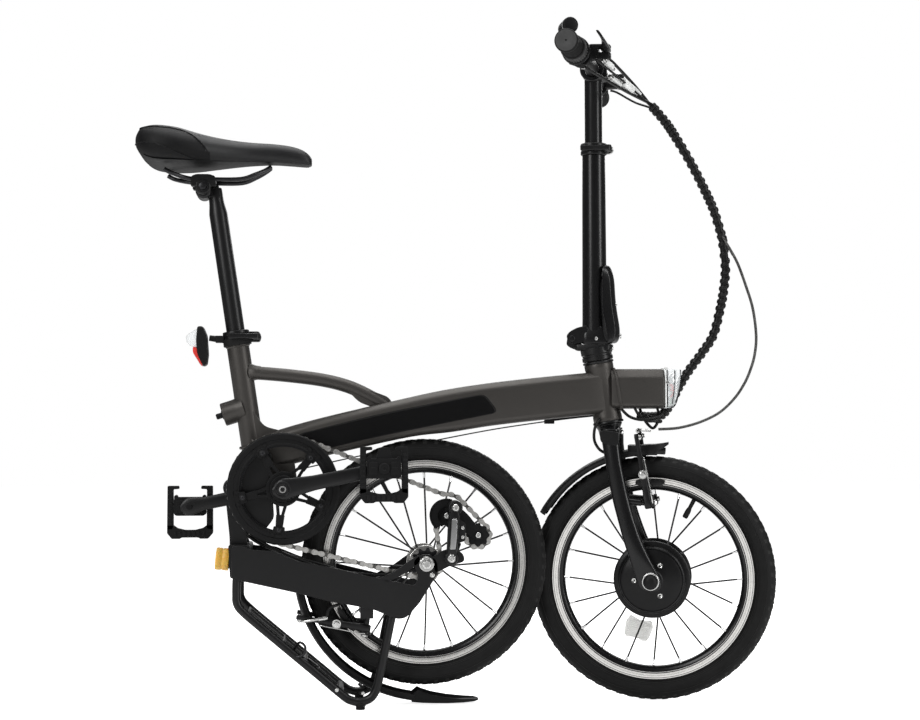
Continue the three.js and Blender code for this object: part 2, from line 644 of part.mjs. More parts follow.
// ---- rear frame ---------------------------------------------------------------------------
const STAY = [
  [-346, 252], [-324, 249], [-316, 244.5], [-284, 243], [-243, 226], [-189, 215.5], [-115, 197.5],
  [-97, 209], [-76, 224], [-62, 234], [-44, 236], [-32, 226], [-30, 208], [-50, 177], [-59, 162],
  [-80, 139], [-94, 137], [-132, 153], [-196, 165], [-247, 178.5], [-331, 197.5], [-346, 199.5],
];
const REAR_BRAKE = [-141, 125];
const BRAKE_BOSS = [0.167, 0, 0.986];
const onBrakeBoss = (side, d) => [REAR_BRAKE[0] + BRAKE_BOSS[0] * d, side * 42,
  REAR_BRAKE[1] + BRAKE_BOSS[2] * d];
const PAD_AT = 215.7; // where the rear pads meet the rim, degrees round the wheel

function rearFrame() {
  const sides = [-1, 1].flatMap((side) => {
    const span = (a, b) => (side > 0 ? [a, b] : [-b, -a]);
    const stay = plate(STAY, ...span(HUB_HALF, STAY_OUT));
    const lug = rod([FOLD_PIVOT[0], side * 28.4, FOLD_PIVOT[1]],
      [FOLD_PIVOT[0], side * 37.4, FOLD_PIVOT[1]], 15, 16);
    const arm = plate([[-358, 330], [-330, 334], [-318, 250], [-322, 230], [-350, 230], [-350, 262]],
      ...span(28.4, 37.4));
    const shelf = block([-150, -130], span(36, 60), [138, 160]);
    const pin = rod(onBrakeBoss(side, -14), onBrakeBoss(side, 15), 4.2, 10);
    return [stay, lug, arm, shelf, pin];
  });
  const cross = plate([[-350, 251], [-318, 250], [-318, 202], [-348, 202]], -60, 60);
  const hanger = plate([[-40, 232], [-20, 243], [-4, 243], [8, 236], [10, 224], [-12, 218], [-36, 206]],
    -STAY_OUT, -HUB_HALF);
  const pad = rod(intoBlock(22.5), intoBlock(32), 14, 12);
  return cut(join(...sides, cross, hanger, pad), crosswise(FOLD_PIVOT, PIN_R + GAP, 45),
    crosswise(REAR_AXLE, 5 + GAP, 80, 14));
}

// Where a point of the main frame sits in the rear frame once the bike is open.
function folded([x, z]) {
  const a = FOLD_ANGLE * RAD;
  const [dx, dz] = [x - FOLD_PIVOT[0], z - FOLD_PIVOT[1]];
  return [FOLD_PIVOT[0] + dx * Math.cos(a) - dz * Math.sin(a),
    FOLD_PIVOT[1] + dx * Math.sin(a) + dz * Math.cos(a)];
}

const faceCentre = folded(BOSS_FACE);
const faceInner = folded([BOSS_FACE[0] + BOSS_OUT[0] * 24, BOSS_FACE[1] + BOSS_OUT[2] * 24]);
const inward = new THREE.Vector3(faceInner[0] - faceCentre[0], 0, faceInner[1] - faceCentre[1]).normalize();
const intoBlock = (d) => [faceCentre[0] + inward.x * d, 0, faceCentre[1] + inward.z * d];

function elastomer() {
  return cut(rod(intoBlock(0.6), intoBlock(22), 17.5, 16),
    rod(intoBlock(-1), intoBlock(14), STUD_R + 3, 10));
}

const RACK_SIDE = [
  [-338, 199], [-338.4, 178], [-337, 162], [-326, 148], [-250, 83.5], [-176, 21.5], [-163, 13.8],
  [-150, 12], [-136, 16.5], [-127.5, 27], [-122, 45], [-112, 92], [-103, 136],
];

function rackSide(side) {
  const y = side * RACK_HALF;
  return sweep(RACK_SIDE.map(([x, z]) => [x, y, z]), RACK_R, 6, 20);
}

function rack() {
  const bars = [[-236, 71.7], [-180, 24.8]].map((place) => crosswise(place, 5, RACK_HALF, 8));
  const feet = [-1, 1].map((side) => {
    const y = side * RACK_HALF;
    return rod([-150, y, 0], [-150, y, 10], 6.5, 10);
  });
  const tabs = [-1, 1].flatMap((side) => {
    const ys = side > 0 ? [STAY_OUT + GAP, STAY_OUT + 4] : [-STAY_OUT - 4, -STAY_OUT - GAP];
    return [plate([[-346, 215], [-331, 215], [-331, 180], [-346, 180]], ...ys),
      plate([[-110, 160], [-94, 160], [-97, 128], [-113, 128]], ...ys)];
  });
  const reach = [-1, 1].flatMap((side) => [[-338.4, 186], [-104, 131]].map(([x, z]) => (
    rod([x, side * RACK_HALF, z], [x, side * 67, z], 5, 8))));
  return cut(join(rackSide(1), rackSide(-1), ...bars, ...feet, ...tabs, ...reach),
    plate(STAY, -STAY_OUT - GAP, -HUB_HALF + GAP),
    plate(STAY, HUB_HALF - GAP, STAY_OUT + GAP));
}

function rearFender() {
  const flap = loft([[-64, 5], [-20, 2], [35, 5]].map(([x, z]) => [[x, -24, z], [x, 24, z],
    [x, 24, z + 2.5], [x, -24, z + 2.5]]));
  const guard = mudguard(REAR_AXLE, 190, 268, 206, 11, 25, 10);
  const strut = rod([-315, 0, 211], [-250, 0, 180], 4, 6);
  return join(guard, flap, strut);
}

function rearBrakeArm(side) {
  const along = new THREE.Vector3(-0.986, 0, 0.167);
  const up = new THREE.Vector3(...BRAKE_BOSS);
  const spot = (d, y, h) => [REAR_BRAKE[0] + along.x * d + up.x * h, side * (42 + y),
    REAR_BRAKE[1] + along.z * d + up.z * h];
  const corners = [[-7, -7], [108, -5], [108, 5], [-7, 7]];
  const arm = loft([-6, 5].map((h) => corners.map(([d, y]) => spot(d, y, h))));
  const stud = rod(spot(34, -22, 0), spot(34, 8, 0), 3, 8);
  const lengthwise = (r, turn) => polar(REAR_AXLE, r, PAD_AT + turn);
  const shoe = [lengthwise(147, -8), lengthwise(156, -8), lengthwise(156, 8), lengthwise(147, 8)];
  const pad = plate(shoe, ...(side > 0 ? [13.4, 22] : [-22, -13.4]));
  const bore = rod(spot(0, 0, -20), spot(0, 0, 30), 4.2 + GAP, 10);
  return join(cut(arm, bore), stud, pad);
}

function rearHub() {
  const profile = [[5.5, -56], [12, -56], [12, -36], [27, -35], [27, -31], [15, -28], [15, 28], [27, 31],
    [27, 35], [12, 36], [12, 56], [5.5, 56]];
  return join(ring([...profile, profile[0]], REAR_AXLE, 14), ...spokes(REAR_AXLE, 25, 33));
}

function rearAxle() {
  return join(crosswise(REAR_AXLE, 5, 76, 14),
    ...[-1, 1].map((side) => rod([REAR_AXLE[0], side * (STAY_OUT + 0.4), REAR_AXLE[1]],
      [REAR_AXLE[0], side * 73, REAR_AXLE[1]], 10.5, 12)));
}

function sprocketWheel(centre, r, bore) {
  const profile = [[bore, CHAINLINE - 1.5], [r, CHAINLINE - 1.5], [r, CHAINLINE + 1.5],
    [bore, CHAINLINE + 1.5]];
  return ring([...profile, profile[0]], centre, 14);
}

const GUIDE = [-17, 294];
const TENSION = [31.5, 263.5];
const CAGE_PIVOT = [-5, 307];
const HANGER_BOLT = [-11.6, 230];

function derailleurBody() {
  const column = plate([[-22, 222], [-4, 222], [4, 250], [6, 300], [-2, 318], [-14, 316], [-18, 290],
    [-20, 250]], -84, -68);
  const mount = rod([HANGER_BOLT[0], -84, HANGER_BOLT[1]],
    [HANGER_BOLT[0], -STAY_OUT - GAP, HANGER_BOLT[1]], 10, 14);
  const knuckle = rod([CAGE_PIVOT[0], -84, CAGE_PIVOT[1]], [CAGE_PIVOT[0], -56, CAGE_PIVOT[1]], 11, 14);
  return join(column, mount, knuckle);
}

function derailleurCage() {
  const outline = [[-46, 294], [-42, 310], [-24, 323], [0, 322], [16, 310], [20, 288], [46, 268],
    [46, 256], [32, 246], [18, 254], [6, 268], [-12, 262], [-34, 272]];
  const plates = [[-55.5, -53], [-37.5, -35]].map(([low, high]) => plate(outline, low, high));
  const axles = [GUIDE, TENSION].map(([x, z]) => rod([x, -56, z], [x, -34.5, z], 3, 10));
  const guide = sprocketWheel(GUIDE, PULLEY_R, 2.5);
  return join(...plates, ...axles, guide);
}

const CHAIN_CLEAR = 3.4; // from a toothed wheel to the middle of the band

// The chain as one band outside the teeth: up over the chainring, round both pulleys and under the cog.
function chain() {
  const [ringR, cogR, pulleyR] = [CHAINRING_R + CHAIN_CLEAR, COG_R + CHAIN_CLEAR, PULLEY_R + CHAIN_CLEAR];
  const arc = (centre, r, from, to, n) => Array.from({ length: n + 1 },
    (_, i) => polar(centre, r, from + ((to - from) * i) / n));
  const line = [
    ...arc(CRANK, ringR, 66, 256, 16),
    ...arc(REAR_AXLE, cogR, 256, 372, 7),
    ...arc(GUIDE, pulleyR, 190, 15, 8),
    ...arc(TENSION, pulleyR, 195, 420, 10),
    [-2, 325.5],
    [-24, 327],
  ];
  return bandLoop(line, 2.2, 3.5);
}

// A closed loop of flat band, thick in its own plane and wide in Y.
function bandLoop(line, halfThick, halfWide) {
  const n = line.length;
  const offset = (sign) => line.map((p, i) => {
    const before = line[(i + n - 1) % n];
    const after = line[(i + 1) % n];
    const along = new THREE.Vector2(after[0] - before[0], after[1] - before[1]).normalize();
    return [p[0] - sign * along.y * halfThick, p[1] + sign * along.x * halfThick];
  });
  const [inner, outer] = [offset(1), offset(-1)];
  const corners = line.map((_, i) => [
    [inner[i][0], CHAINLINE - halfWide, inner[i][1]], [outer[i][0], CHAINLINE - halfWide, outer[i][1]],
    [outer[i][0], CHAINLINE + halfWide, outer[i][1]], [inner[i][0], CHAINLINE + halfWide, inner[i][1]]]);
  const index = [];
  for (let k = 0; k < n; k++) {
    for (let i = 0; i < 4; i++) {
      const j = (i + 1) % 4;
      const next = (k + 1) % n;
      index.push(k * 4 + i, k * 4 + j, next * 4 + j, k * 4 + i, next * 4 + j, next * 4 + i);
    }
  }
  const geometry = new THREE.BufferGeometry();
  geometry.setAttribute('position', new THREE.Float32BufferAttribute(corners.flat(2), 3));
  geometry.setIndex(index);
  return solid(geometry);
}

// ---- assembly -----------------------------------------------------------------------------
const frameParts = [
  piece('main_frame', mainFrame(), GUNMETAL),
  piece('battery_pack', beam(4.2, 2, 6), BLACK_PLASTIC),
  piece('beam_panel', plate(shrunk(PANEL, 0.4), -BEAM_HALF - 0.1, -BEAM_HALF + PANEL_THICK - GAP),
    BLACK_PLASTIC),
  piece('headset', headset(), BLACK_PAINT),
  piece('headlight_housing', headlightHousing(), BLACK_PLASTIC),
  piece('headlight_lens', headlightLens(), [0xdde4ea, 0.1, 0]),
  piece('seat_clamp', seatClamp(), BLACK_PAINT),
  piece('seat_clamp_lever', clampLever(SEAT_LEVER), BLACK_PAINT),
  piece('tail_light', tailLightHousing(), BLACK_PLASTIC),
  piece('bottom_bracket', bottomBracket(), STEEL),
  piece('pivot_pin', pivotPin(), STEEL),
  piece('cable_bundle', sweep(BUNDLE, 6.5, 6, 26), BLACK_PLASTIC),
];
const seatParts = [
  piece('seatpost', seatpost(), BLACK_PAINT),
  piece('saddle_rails', saddleRails(), STEEL),
  piece('saddle', saddle(), [0x1a1a1b, 0.6, 0]),
];
const steeredParts = [
  piece('fork', fork(), BLACK_PAINT),
  piece('front_axle', frontAxle(), STEEL),
  piece('front_fender', frontFender(), BLACK_PLASTIC),
  piece('handlepost_base', postBase(), BLACK_PAINT),
  piece('front_brake_arm_left', frontBrakeArm(1), BLACK_PAINT),
  piece('front_brake_arm_right', frontBrakeArm(-1), BLACK_PAINT),
  piece('handlepost', handlepost(), BLACK_PAINT),
  piece('handlepost_latch', latchLever(), BLACK_PLASTIC),
  piece('height_clamp_lever', clampLever(POST_LEVER), BLACK_PAINT),
  piece('upper_post', upperPost(), BLACK_PAINT),
  piece('handlebar', handlebar(), BLACK_PAINT),
  piece('grip_left', sleeve(155, BAR_HALF, GRIP_R, GRIP_R, true), RUBBER),
  piece('grip_right', sleeve(-216, -BAR_HALF, GRIP_R, GRIP_R, true), RUBBER),
  piece('twist_shifter', sleeve(-190, -215, 21, 18.5, false), BLACK_PLASTIC),
  piece('brake_bracket_left', brakeBracket(1), BLACK_PLASTIC),
  piece('brake_bracket_right', brakeBracket(-1), BLACK_PLASTIC),
  piece('brake_lever_left', brakeLever(1), BLACK_PAINT),
  piece('brake_lever_right', brakeLever(-1), BLACK_PAINT),
  piece('bell', bell(), BLACK_PLASTIC),
  piece('front_tyre', tyre(FRONT_AXLE), RUBBER),
  piece('front_rim', rim(FRONT_AXLE), SILVER),
  piece('front_hub_motor', hubMotor(), BLACK_PAINT),
];
const rearParts = [
  piece('rear_frame', rearFrame(), BLACK_PAINT),
  piece('elastomer', elastomer(), [0xe0a63c, 0.5, 0]),
  piece('rear_rack', rack(), BLACK_PAINT),
  piece('rear_fender', rearFender(), BLACK_PLASTIC),
  piece('rear_axle', rearAxle(), STEEL),
  piece('rear_brake_arm_left', rearBrakeArm(1), BLACK_PAINT),
  piece('rear_brake_arm_right', rearBrakeArm(-1), BLACK_PAINT),
  piece('rear_tyre', tyre(REAR_AXLE), RUBBER),
  piece('rear_rim', rim(REAR_AXLE), SILVER),
  piece('rear_hub', rearHub(), SILVER),
  piece('rear_cog', sprocketWheel(REAR_AXLE, COG_R, 12 + TURNING_GAP), BLACK_PAINT),
  piece('derailleur_body', derailleurBody(), BLACK_PAINT),
  piece('derailleur_cage', derailleurCage(), BLACK_PLASTIC),
  piece('tension_pulley', sprocketWheel(TENSION, PULLEY_R, 3 + GAP), BLACK_PLASTIC),
];
const driveParts = [
  piece('chainring', chainring(), BLACK_PLASTIC),
  piece('crank_right', crankArm(-1), BLACK_PAINT),
  piece('crank_left', crankArm(1), BLACK_PAINT),
  piece('pedal_bracket_right', pedalBracket(-1), BLACK_PLASTIC),
  piece('pedal_bracket_left', pedalBracket(1), BLACK_PLASTIC),
  piece('pedal_cage_right', pedalCage(-1), BLACK_PLASTIC),
  piece('pedal_cage_left', pedalCage(1), BLACK_PLASTIC),
  piece('chain', chain(), SILVER),
];

// Everything that steers turns about the head tube's axis.
const steered = new THREE.Group();
const unshifted = new THREE.Group();
unshifted.position.set(-STEER_POINT[0], 0, -STEER_POINT[1]);
unshifted.add(...steeredParts);
steered.position.set(STEER_POINT[0], 0, STEER_POINT[1]);
steered.quaternion.setFromAxisAngle(new THREE.Vector3(...STEER_AXIS), STEER_TURN * RAD);
steered.add(unshifted);

const bicycle = new THREE.Group();
bicycle.add(...frameParts, ...seatParts, ...rearParts, ...driveParts, steered);
bicycle.add(piece('front_brake_cable', sweep(BRAKE_CABLE, 2.4, 5, 24), BLACK_PLASTIC));
bicycle.position.set(...CENTRING);

export default bicycle;
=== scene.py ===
"""The looks of a folding electric bicycle that stands half folded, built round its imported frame."""

import math

import bmesh
import bpy
import numpy as np
from mathutils import Matrix, Vector


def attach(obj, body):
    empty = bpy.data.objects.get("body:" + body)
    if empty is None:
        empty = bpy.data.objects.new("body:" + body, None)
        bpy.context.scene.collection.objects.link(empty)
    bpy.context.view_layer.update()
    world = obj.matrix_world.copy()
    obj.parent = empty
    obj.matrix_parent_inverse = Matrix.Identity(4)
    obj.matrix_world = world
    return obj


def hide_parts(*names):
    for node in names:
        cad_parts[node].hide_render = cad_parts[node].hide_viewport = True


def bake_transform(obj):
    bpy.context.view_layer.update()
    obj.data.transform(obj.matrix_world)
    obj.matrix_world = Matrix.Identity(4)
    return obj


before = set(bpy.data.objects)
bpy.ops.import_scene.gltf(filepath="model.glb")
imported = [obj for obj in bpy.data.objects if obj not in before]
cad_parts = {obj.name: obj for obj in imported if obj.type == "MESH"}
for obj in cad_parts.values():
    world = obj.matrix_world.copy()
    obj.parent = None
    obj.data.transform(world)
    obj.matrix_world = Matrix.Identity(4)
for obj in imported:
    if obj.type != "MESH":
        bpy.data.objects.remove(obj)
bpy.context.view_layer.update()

# ---- the bicycle's own frame ----------------------------------------------------------------
# Millimetres. +X is the riding direction, +Y the rider's left, +Z up. The drive side is -Y.
MM = 0.001
SHIFT = np.array([-2.5, 14.3, 0.0])  # from the drawing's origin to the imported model's
STEER_TURN = -14  # degrees: the fork and handlebar stand turned to the rider's right
REAR_AXLE = np.array([-48.6, 0, 220.8])
FRONT_AXLE = np.array([313, 0, 192.5])
CRANK = np.array([-267.7, 0, 336.5])
FOLD_PIVOT = np.array([-345, 0, 338.3])
STEER_POINT = np.array([236.5, 0, 485])
STEER_TILT = math.radians(9.2)
STEER_AXIS = np.array([-math.sin(STEER_TILT), 0, math.cos(STEER_TILT)])
SEAT_TILT = math.radians(8.43)
SEAT_AXIS = np.array([-math.sin(SEAT_TILT), 0, math.cos(SEAT_TILT)])
SEAT_TOP = np.array([-340.7, 0, 565])
RIM_INNER_R = 138.5
SPOKES = 20
CHAINLINE = -44.5
CRANK_LENGTH = 156
CRANK_TURN = 11.5
POST_X = 223.5
BAR_Z = 995
BAR_R = 11.1
BAR_END = 269
UP = np.array([0, 0, 1.0])
ACROSS = np.array([0, 1.0, 0])


def on_steer(d):
    return STEER_POINT + STEER_AXIS * d


def on_seat(d):
    return SEAT_TOP + SEAT_AXIS * d


def bar_x(y):
    return POST_X - 14 * max(0, (abs(y) - 60) / 215)


def polar(centre, r, degrees, y=0.0):
    a = math.radians(degrees)
    return np.array([centre[0] + r * math.cos(a), y, centre[2] + r * math.sin(a)])


def standing(points):
    """Points of the bicycle's frame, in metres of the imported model."""
    return (np.asarray(points, float) + SHIFT) * MM


def steer(points):
    """Points drawn with the wheel straight ahead, turned to where the wheel stands."""
    turn = np.array(Matrix.Rotation(math.radians(STEER_TURN), 3, Vector(STEER_AXIS)))
    return (np.asarray(points, float) - STEER_POINT) @ turn.T + STEER_POINT


def steered(points):
    return standing(steer(points))


# ---- mesh building --------------------------------------------------------------------------
class Shape:
    """The vertices and faces of one piece, in millimetres."""

    def __init__(self):
        self.verts = []
        self.faces = []

    def add(self, verts, faces):
        base = len(self.verts)
        self.verts.extend(tuple(float(c) for c in v) for v in verts)
        self.faces.extend(tuple(base + i for i in f) for f in faces)
        return self

    def rings(self, rings, closed=False, caps=True):
        """Skins rings of matching points."""
        rings = [np.asarray(r, float) for r in rings]
        n, count = len(rings[0]), len(rings)
        faces = []
        for k in range(count if closed else count - 1):
            a, b = k * n, ((k + 1) % count) * n
            faces += [(a + i, a + (i + 1) % n, b + (i + 1) % n, b + i) for i in range(n)]
        if caps and not closed:
            faces.append(tuple(reversed(range(n))))
            faces.append(tuple((count - 1) * n + i for i in range(n)))
        return self.add(np.concatenate(rings), faces)

    def turned(self, profile, base, axis, sides=32):
        """A profile of (radius, distance) turned about an axis. It closes itself if its ends meet."""
        base = np.asarray(base, float)
        u, v, w = basis(axis)
        closed = profile[0] == profile[-1]
        if closed:
            profile = profile[:-1]
        angles = [2 * math.pi * i / sides for i in range(sides)]
        rings = []
        for r, d in profile:
            r = max(r, 0.01)
            rings.append([base + w * d + u * (r * math.cos(a)) + v * (r * math.sin(a)) for a in angles])
        return self.rings(rings, closed=closed)

    def rod(self, a, b, r, r_end=None, sides=24):
        a, b = np.asarray(a, float), np.asarray(b, float)
        r_end = r if r_end is None else r_end
        return self.turned([(r, 0), (r_end, np.linalg.norm(b - a))], a, b - a, sides)

    def tube(self, points, r, sides=12, per=6, smooth=True, closed=False):
        """A round tube along a smooth line. r is a number, or a function of the share of the way."""
        line = spline(points, per, closed) if smooth else np.asarray(points, float)
        return self.rings(sections(line, r, sides, closed), closed=closed)

    def plate(self, outline, y0, y1):
        """An outline of (X, Z) with thickness in Y."""
        n = len(outline)
        low = [(x, y0, z) for x, z in outline]
        high = [(x, y1, z) for x, z in outline]
        faces = [(i, (i + 1) % n, n + (i + 1) % n, n + i) for i in range(n)]
        faces += [tuple(reversed(range(n))), tuple(range(n, 2 * n))]
        return self.add(low + high, faces)

    def box(self, xs, ys, zs):
        return self.plate([(xs[0], zs[0]), (xs[1], zs[0]), (xs[1], zs[1]), (xs[0], zs[1])], *ys)

    def bolt(self, at, axis, r, h, sides=20):
        """A button head with a round recess, its foot at at."""
        profile = [(0, 0.35 * h), (0.42 * r, 0.35 * h), (0.5 * r, h), (0.78 * r, 0.96 * h), (r, 0.5 * h),
                   (r, 0)]
        return self.turned(profile, at, axis, sides)

    def nut(self, at, axis, r, h):
        """A hexagon with a washer under it."""
        self.turned([(1.3 * r, 0), (1.3 * r, 0.18 * h), (0, 0.18 * h)], at, axis, 24)
        return self.turned([(0, 0), (r, 0), (r, 0.92 * h), (0.86 * r, h), (0, h)], at, axis, 6)


def basis(axis):
    w = np.asarray(axis, float)
    w = w / np.linalg.norm(w)
    hint = ACROSS if abs(w[1]) < 0.9 else UP
    u = np.cross(hint, w)
    u /= np.linalg.norm(u)
    return u, np.cross(w, u), w


def spline(points, per=6, closed=False):
    """A smooth line through points."""
    p = np.asarray(points, float)
    n = len(p)
    out = []
    spans = n if closed else n - 1
    for i in range(spans):
        pick = [(i + k) % n if closed else min(max(i + k, 0), n - 1) for k in (-1, 0, 1, 2)]
        a, b, c, d = (p[k] for k in pick)
        for s in range(per):
            t = s / per
            out.append(0.5 * (2 * b + (c - a) * t + (2 * a - 5 * b + 4 * c - d) * t**2
                              + (3 * b - a - 3 * c + d) * t**3))
    if not closed:
        out.append(p[-1])
    return np.array(out)


def line_frames(line, closed=False):
    """The sideways pair of directions at each point of a line, with no twist between them."""
    n = len(line)
    ahead = np.roll(line, -1, 0) - np.roll(line, 1, 0)
    if not closed:
        ahead[0], ahead[-1] = line[1] - line[0], line[-1] - line[-2]
    ahead /= np.linalg.norm(ahead, axis=1)[:, None]
    u = basis(ahead[0])[0]
    pairs = []
    for k in range(n):
        u = u - ahead[k] * (u @ ahead[k])
        u /= np.linalg.norm(u)
        pairs.append((u, np.cross(ahead[k], u)))
    return pairs


def sections(line, r, sides, closed=False):
    rings = []
    for k, (u, v) in enumerate(line_frames(line, closed)):
        radius = r(k / (len(line) - 1)) if callable(r) else r
        rings.append([line[k] + radius * (u * math.cos(a) + v * math.sin(a))
                      for a in (2 * math.pi * (i + 0.5) / sides for i in range(sides))])
    return rings


SQUARE = [(-1, -1), (1, -1), (1, 1), (-1, 1)]  # a section in half widths, scaled where it is used


def eased(wave, power):
    """A sine or cosine raised to a power with its sign kept: below 1 it makes a section squarer."""
    return math.copysign(abs(wave) ** power, wave)


def rounded(outline, r, steps=4):
    """An outline with its corners rounded. r is one radius, or one for each corner."""
    n = len(outline)
    out = []
    for i, corner in enumerate(outline):
        radius = r[i] if hasattr(r, "__len__") else r
        c = np.asarray(corner, float)
        before, after = np.asarray(outline[i - 1], float) - c, np.asarray(outline[(i + 1) % n], float) - c
        reach = min(radius, 0.45 * np.linalg.norm(before), 0.45 * np.linalg.norm(after))
        start = c + before / np.linalg.norm(before) * reach
        end = c + after / np.linalg.norm(after) * reach
        for s in range(steps + 1):
            t = s / steps
            p = (1 - t) ** 2 * start + 2 * t * (1 - t) * c + t**2 * end
            out.append((p[0], p[1]))
    return out


# ---- turning shapes into pieces -------------------------------------------------------------
SHARP = math.radians(38)


def make(name, shape, material, body, place=standing, replaces=(), bevel=0.0, subdivide=0):
    """One Blender object, in its place and riding on its body."""
    mesh = bpy.data.meshes.new(name)
    mesh.from_pydata([tuple(v) for v in place(shape.verts)], [], shape.faces)
    mesh.validate()
    tidy = bmesh.new()
    tidy.from_mesh(mesh)
    bmesh.ops.remove_doubles(tidy, verts=tidy.verts, dist=0.00002)
    bmesh.ops.recalc_face_normals(tidy, faces=tidy.faces)
    tidy.to_mesh(mesh)
    tidy.free()
    mesh.shade_smooth()
    mesh.set_sharp_from_angle(angle=SHARP)
    obj = bpy.data.objects.new(name, mesh)
    bpy.context.scene.collection.objects.link(obj)
    mesh.materials.append(material)
    if bevel:
        edge = obj.modifiers.new("edges", "BEVEL")
        edge.width = bevel * MM
        edge.segments = 2
        edge.limit_method = "ANGLE"
        edge.angle_limit = math.radians(32)
        edge.harden_normals = False
    if subdivide:
        smooth = obj.modifiers.new("smooth", "SUBSURF")
        smooth.levels = smooth.render_levels = subdivide
    if body:
        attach(obj, body)
    if replaces:
        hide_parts(*([replaces] if isinstance(replaces, str) else replaces))
    return obj


# ---- materials ------------------------------------------------------------------------------
def material(name, color, rough, metal=0.0, mottle=0.12, patch=25.0, grain=2200.0, bump=0.00002,
             rough_spread=0.08, coat=0.0, edge=0.0, edge_color=None, stretch=None, specular=0.5):
    """A surface with patchy colour and roughness, a fine grain and, where asked for, lighter edges that are
    partly rubbed wear and partly a painted highlight.
    patch and grain are in cycles per metre, bump in metres."""
    mat = bpy.data.materials.new(name)
    mat.use_nodes = True
    nodes, links = mat.node_tree.nodes, mat.node_tree.links
    shader = nodes["Principled BSDF"]
    shader.inputs["Metallic"].default_value = metal
    shader.inputs["Coat Weight"].default_value = coat
    shader.inputs["Coat Roughness"].default_value = 0.15
    shader.inputs["Specular IOR Level"].default_value = specular
    where = nodes.new("ShaderNodeTexCoord").outputs["Object"]
    if stretch:
        mapping = nodes.new("ShaderNodeMapping")
        mapping.inputs["Scale"].default_value = stretch
        links.new(where, mapping.inputs["Vector"])
        where = mapping.outputs["Vector"]

    def noise(scale, detail=3.0):
        made = nodes.new("ShaderNodeTexNoise")
        made.inputs["Scale"].default_value = scale
        made.inputs["Detail"].default_value = detail
        links.new(where, made.inputs["Vector"])
        return made.outputs["Fac"]

    ramp = nodes.new("ShaderNodeValToRGB")
    low = [c * (1 - mottle) for c in color]
    high = [min(1.0, c * (1 + mottle)) for c in color]
    ramp.color_ramp.elements[0].position, ramp.color_ramp.elements[1].position = 0.3, 0.7
    ramp.color_ramp.elements[0].color = (*low, 1)
    ramp.color_ramp.elements[1].color = (*high, 1)
    links.new(noise(patch), ramp.inputs["Fac"])
    tint = ramp.outputs["Color"]
    # edges that stand proud are lightened: partly wear, partly a painted highlight
    if edge:
        tint = edge_wear_and_highlight(nodes, links, tint, edge_color or [min(1.0, c * 2.5 + 0.03) for c in color], edge)
    links.new(tint, shader.inputs["Base Color"])
    spread = nodes.new("ShaderNodeMapRange")
    spread.inputs["To Min"].default_value = max(0.02, rough - rough_spread)
    spread.inputs["To Max"].default_value = min(1.0, rough + rough_spread)
    links.new(noise(patch * 6), spread.inputs["Value"])
    links.new(spread.outputs["Result"], shader.inputs["Roughness"])
    relief = nodes.new("ShaderNodeBump")
    relief.inputs["Strength"].default_value = 0.6
    relief.inputs["Distance"].default_value = bump
    links.new(noise(grain, 2.0), relief.inputs["Height"])
    links.new(relief.outputs["Normal"], shader.inputs["Normal"])
    return mat


def edge_wear_and_highlight(nodes, links, tint, bare_and_highlight, amount):
    """Lightens what stands proud: partly as rubbed edges are, partly as a painted highlight along the
    edges.
    """
    point = nodes.new("ShaderNodeNewGeometry").outputs["Pointiness"]
    pick = nodes.new("ShaderNodeMapRange")
    pick.inputs["From Min"].default_value = 0.53
    pick.inputs["From Max"].default_value = 0.62
    pick.inputs["To Max"].default_value = amount
    links.new(point, pick.inputs["Value"])
    mix = nodes.new("ShaderNodeMix")
    mix.data_type = "RGBA"
    links.new(pick.outputs["Result"], mix.inputs[0])
    links.new(tint, mix.inputs[6])
    mix.inputs[7].default_value = (*bare_and_highlight, 1)
    return mix.outputs[2]


def clear(name, color, rough=0.05, alpha=0.35):
    mat = material(name, color, rough, mottle=0.03, bump=0.000005, coat=0.3)
    mat.node_tree.nodes["Principled BSDF"].inputs["Alpha"].default_value = alpha
    mat.surface_render_method = "BLENDED"
    return mat


GUNMETAL = material("gunmetal_paint", [0.052, 0.0485, 0.045], 0.43, 0.6, patch=14, grain=5200, bump=0.00003,
                    mottle=0.035, edge=0.3, rough_spread=0.04, specular=0.35)
BLACK_PAINT = material("black_powder_coat", [0.0035, 0.0035, 0.0038], 0.36, 0.0, grain=3800, bump=0.000012,
                       edge=0.08, rough_spread=0.02, edge_color=[0.03, 0.03, 0.031], specular=0.3)
GLOSS_BLACK = material("black_anodised", [0.0035, 0.0035, 0.0038], 0.26, grain=1500, bump=0.000001,
                       rough_spread=0.01, specular=0.32)
BLACK_PLASTIC = material("black_plastic", [0.004, 0.004, 0.0042], 0.5, grain=3000, bump=0.00006, edge=0.2,
                         edge_color=[0.03, 0.03, 0.031], specular=0.16)
SATIN_PLASTIC = material("satin_paint", [0.0035, 0.0035, 0.0038], 0.36, grain=4200, bump=0.00003, edge=0.15,
                         edge_color=[0.03, 0.03, 0.031], specular=0.2)
PANEL_BLACK = material("panel_black", [0.0028, 0.0028, 0.003], 0.38, grain=6000, bump=0.000015, mottle=0.06,
                       specular=0.12)
RUBBER = material("rubber", [0.006, 0.006, 0.006], 0.72, grain=2400, bump=0.00008, mottle=0.2, edge=0.15,
                  edge_color=[0.04, 0.04, 0.04], specular=0.14)
TYRE_RUBBER = material("tyre_rubber", [0.005, 0.005, 0.005], 0.62, patch=40, grain=1800, bump=0.00012,
                       mottle=0.25, edge=0.3, edge_color=[0.045, 0.045, 0.044], specular=0.16)
STEEL = material("plated_steel", [0.60, 0.60, 0.59], 0.24, 1.0, patch=120, mottle=0.1, grain=2600,
                 bump=0.000001)
CHROME = material("chrome", [0.80, 0.80, 0.80], 0.09, 1.0, patch=60, mottle=0.05, bump=0.0000005,
                  rough_spread=0.04)
MACHINED = material("machined_alloy", [0.66, 0.65, 0.63], 0.2, 1.0, patch=160, mottle=0.06, grain=5200,
                    bump=0.000001)
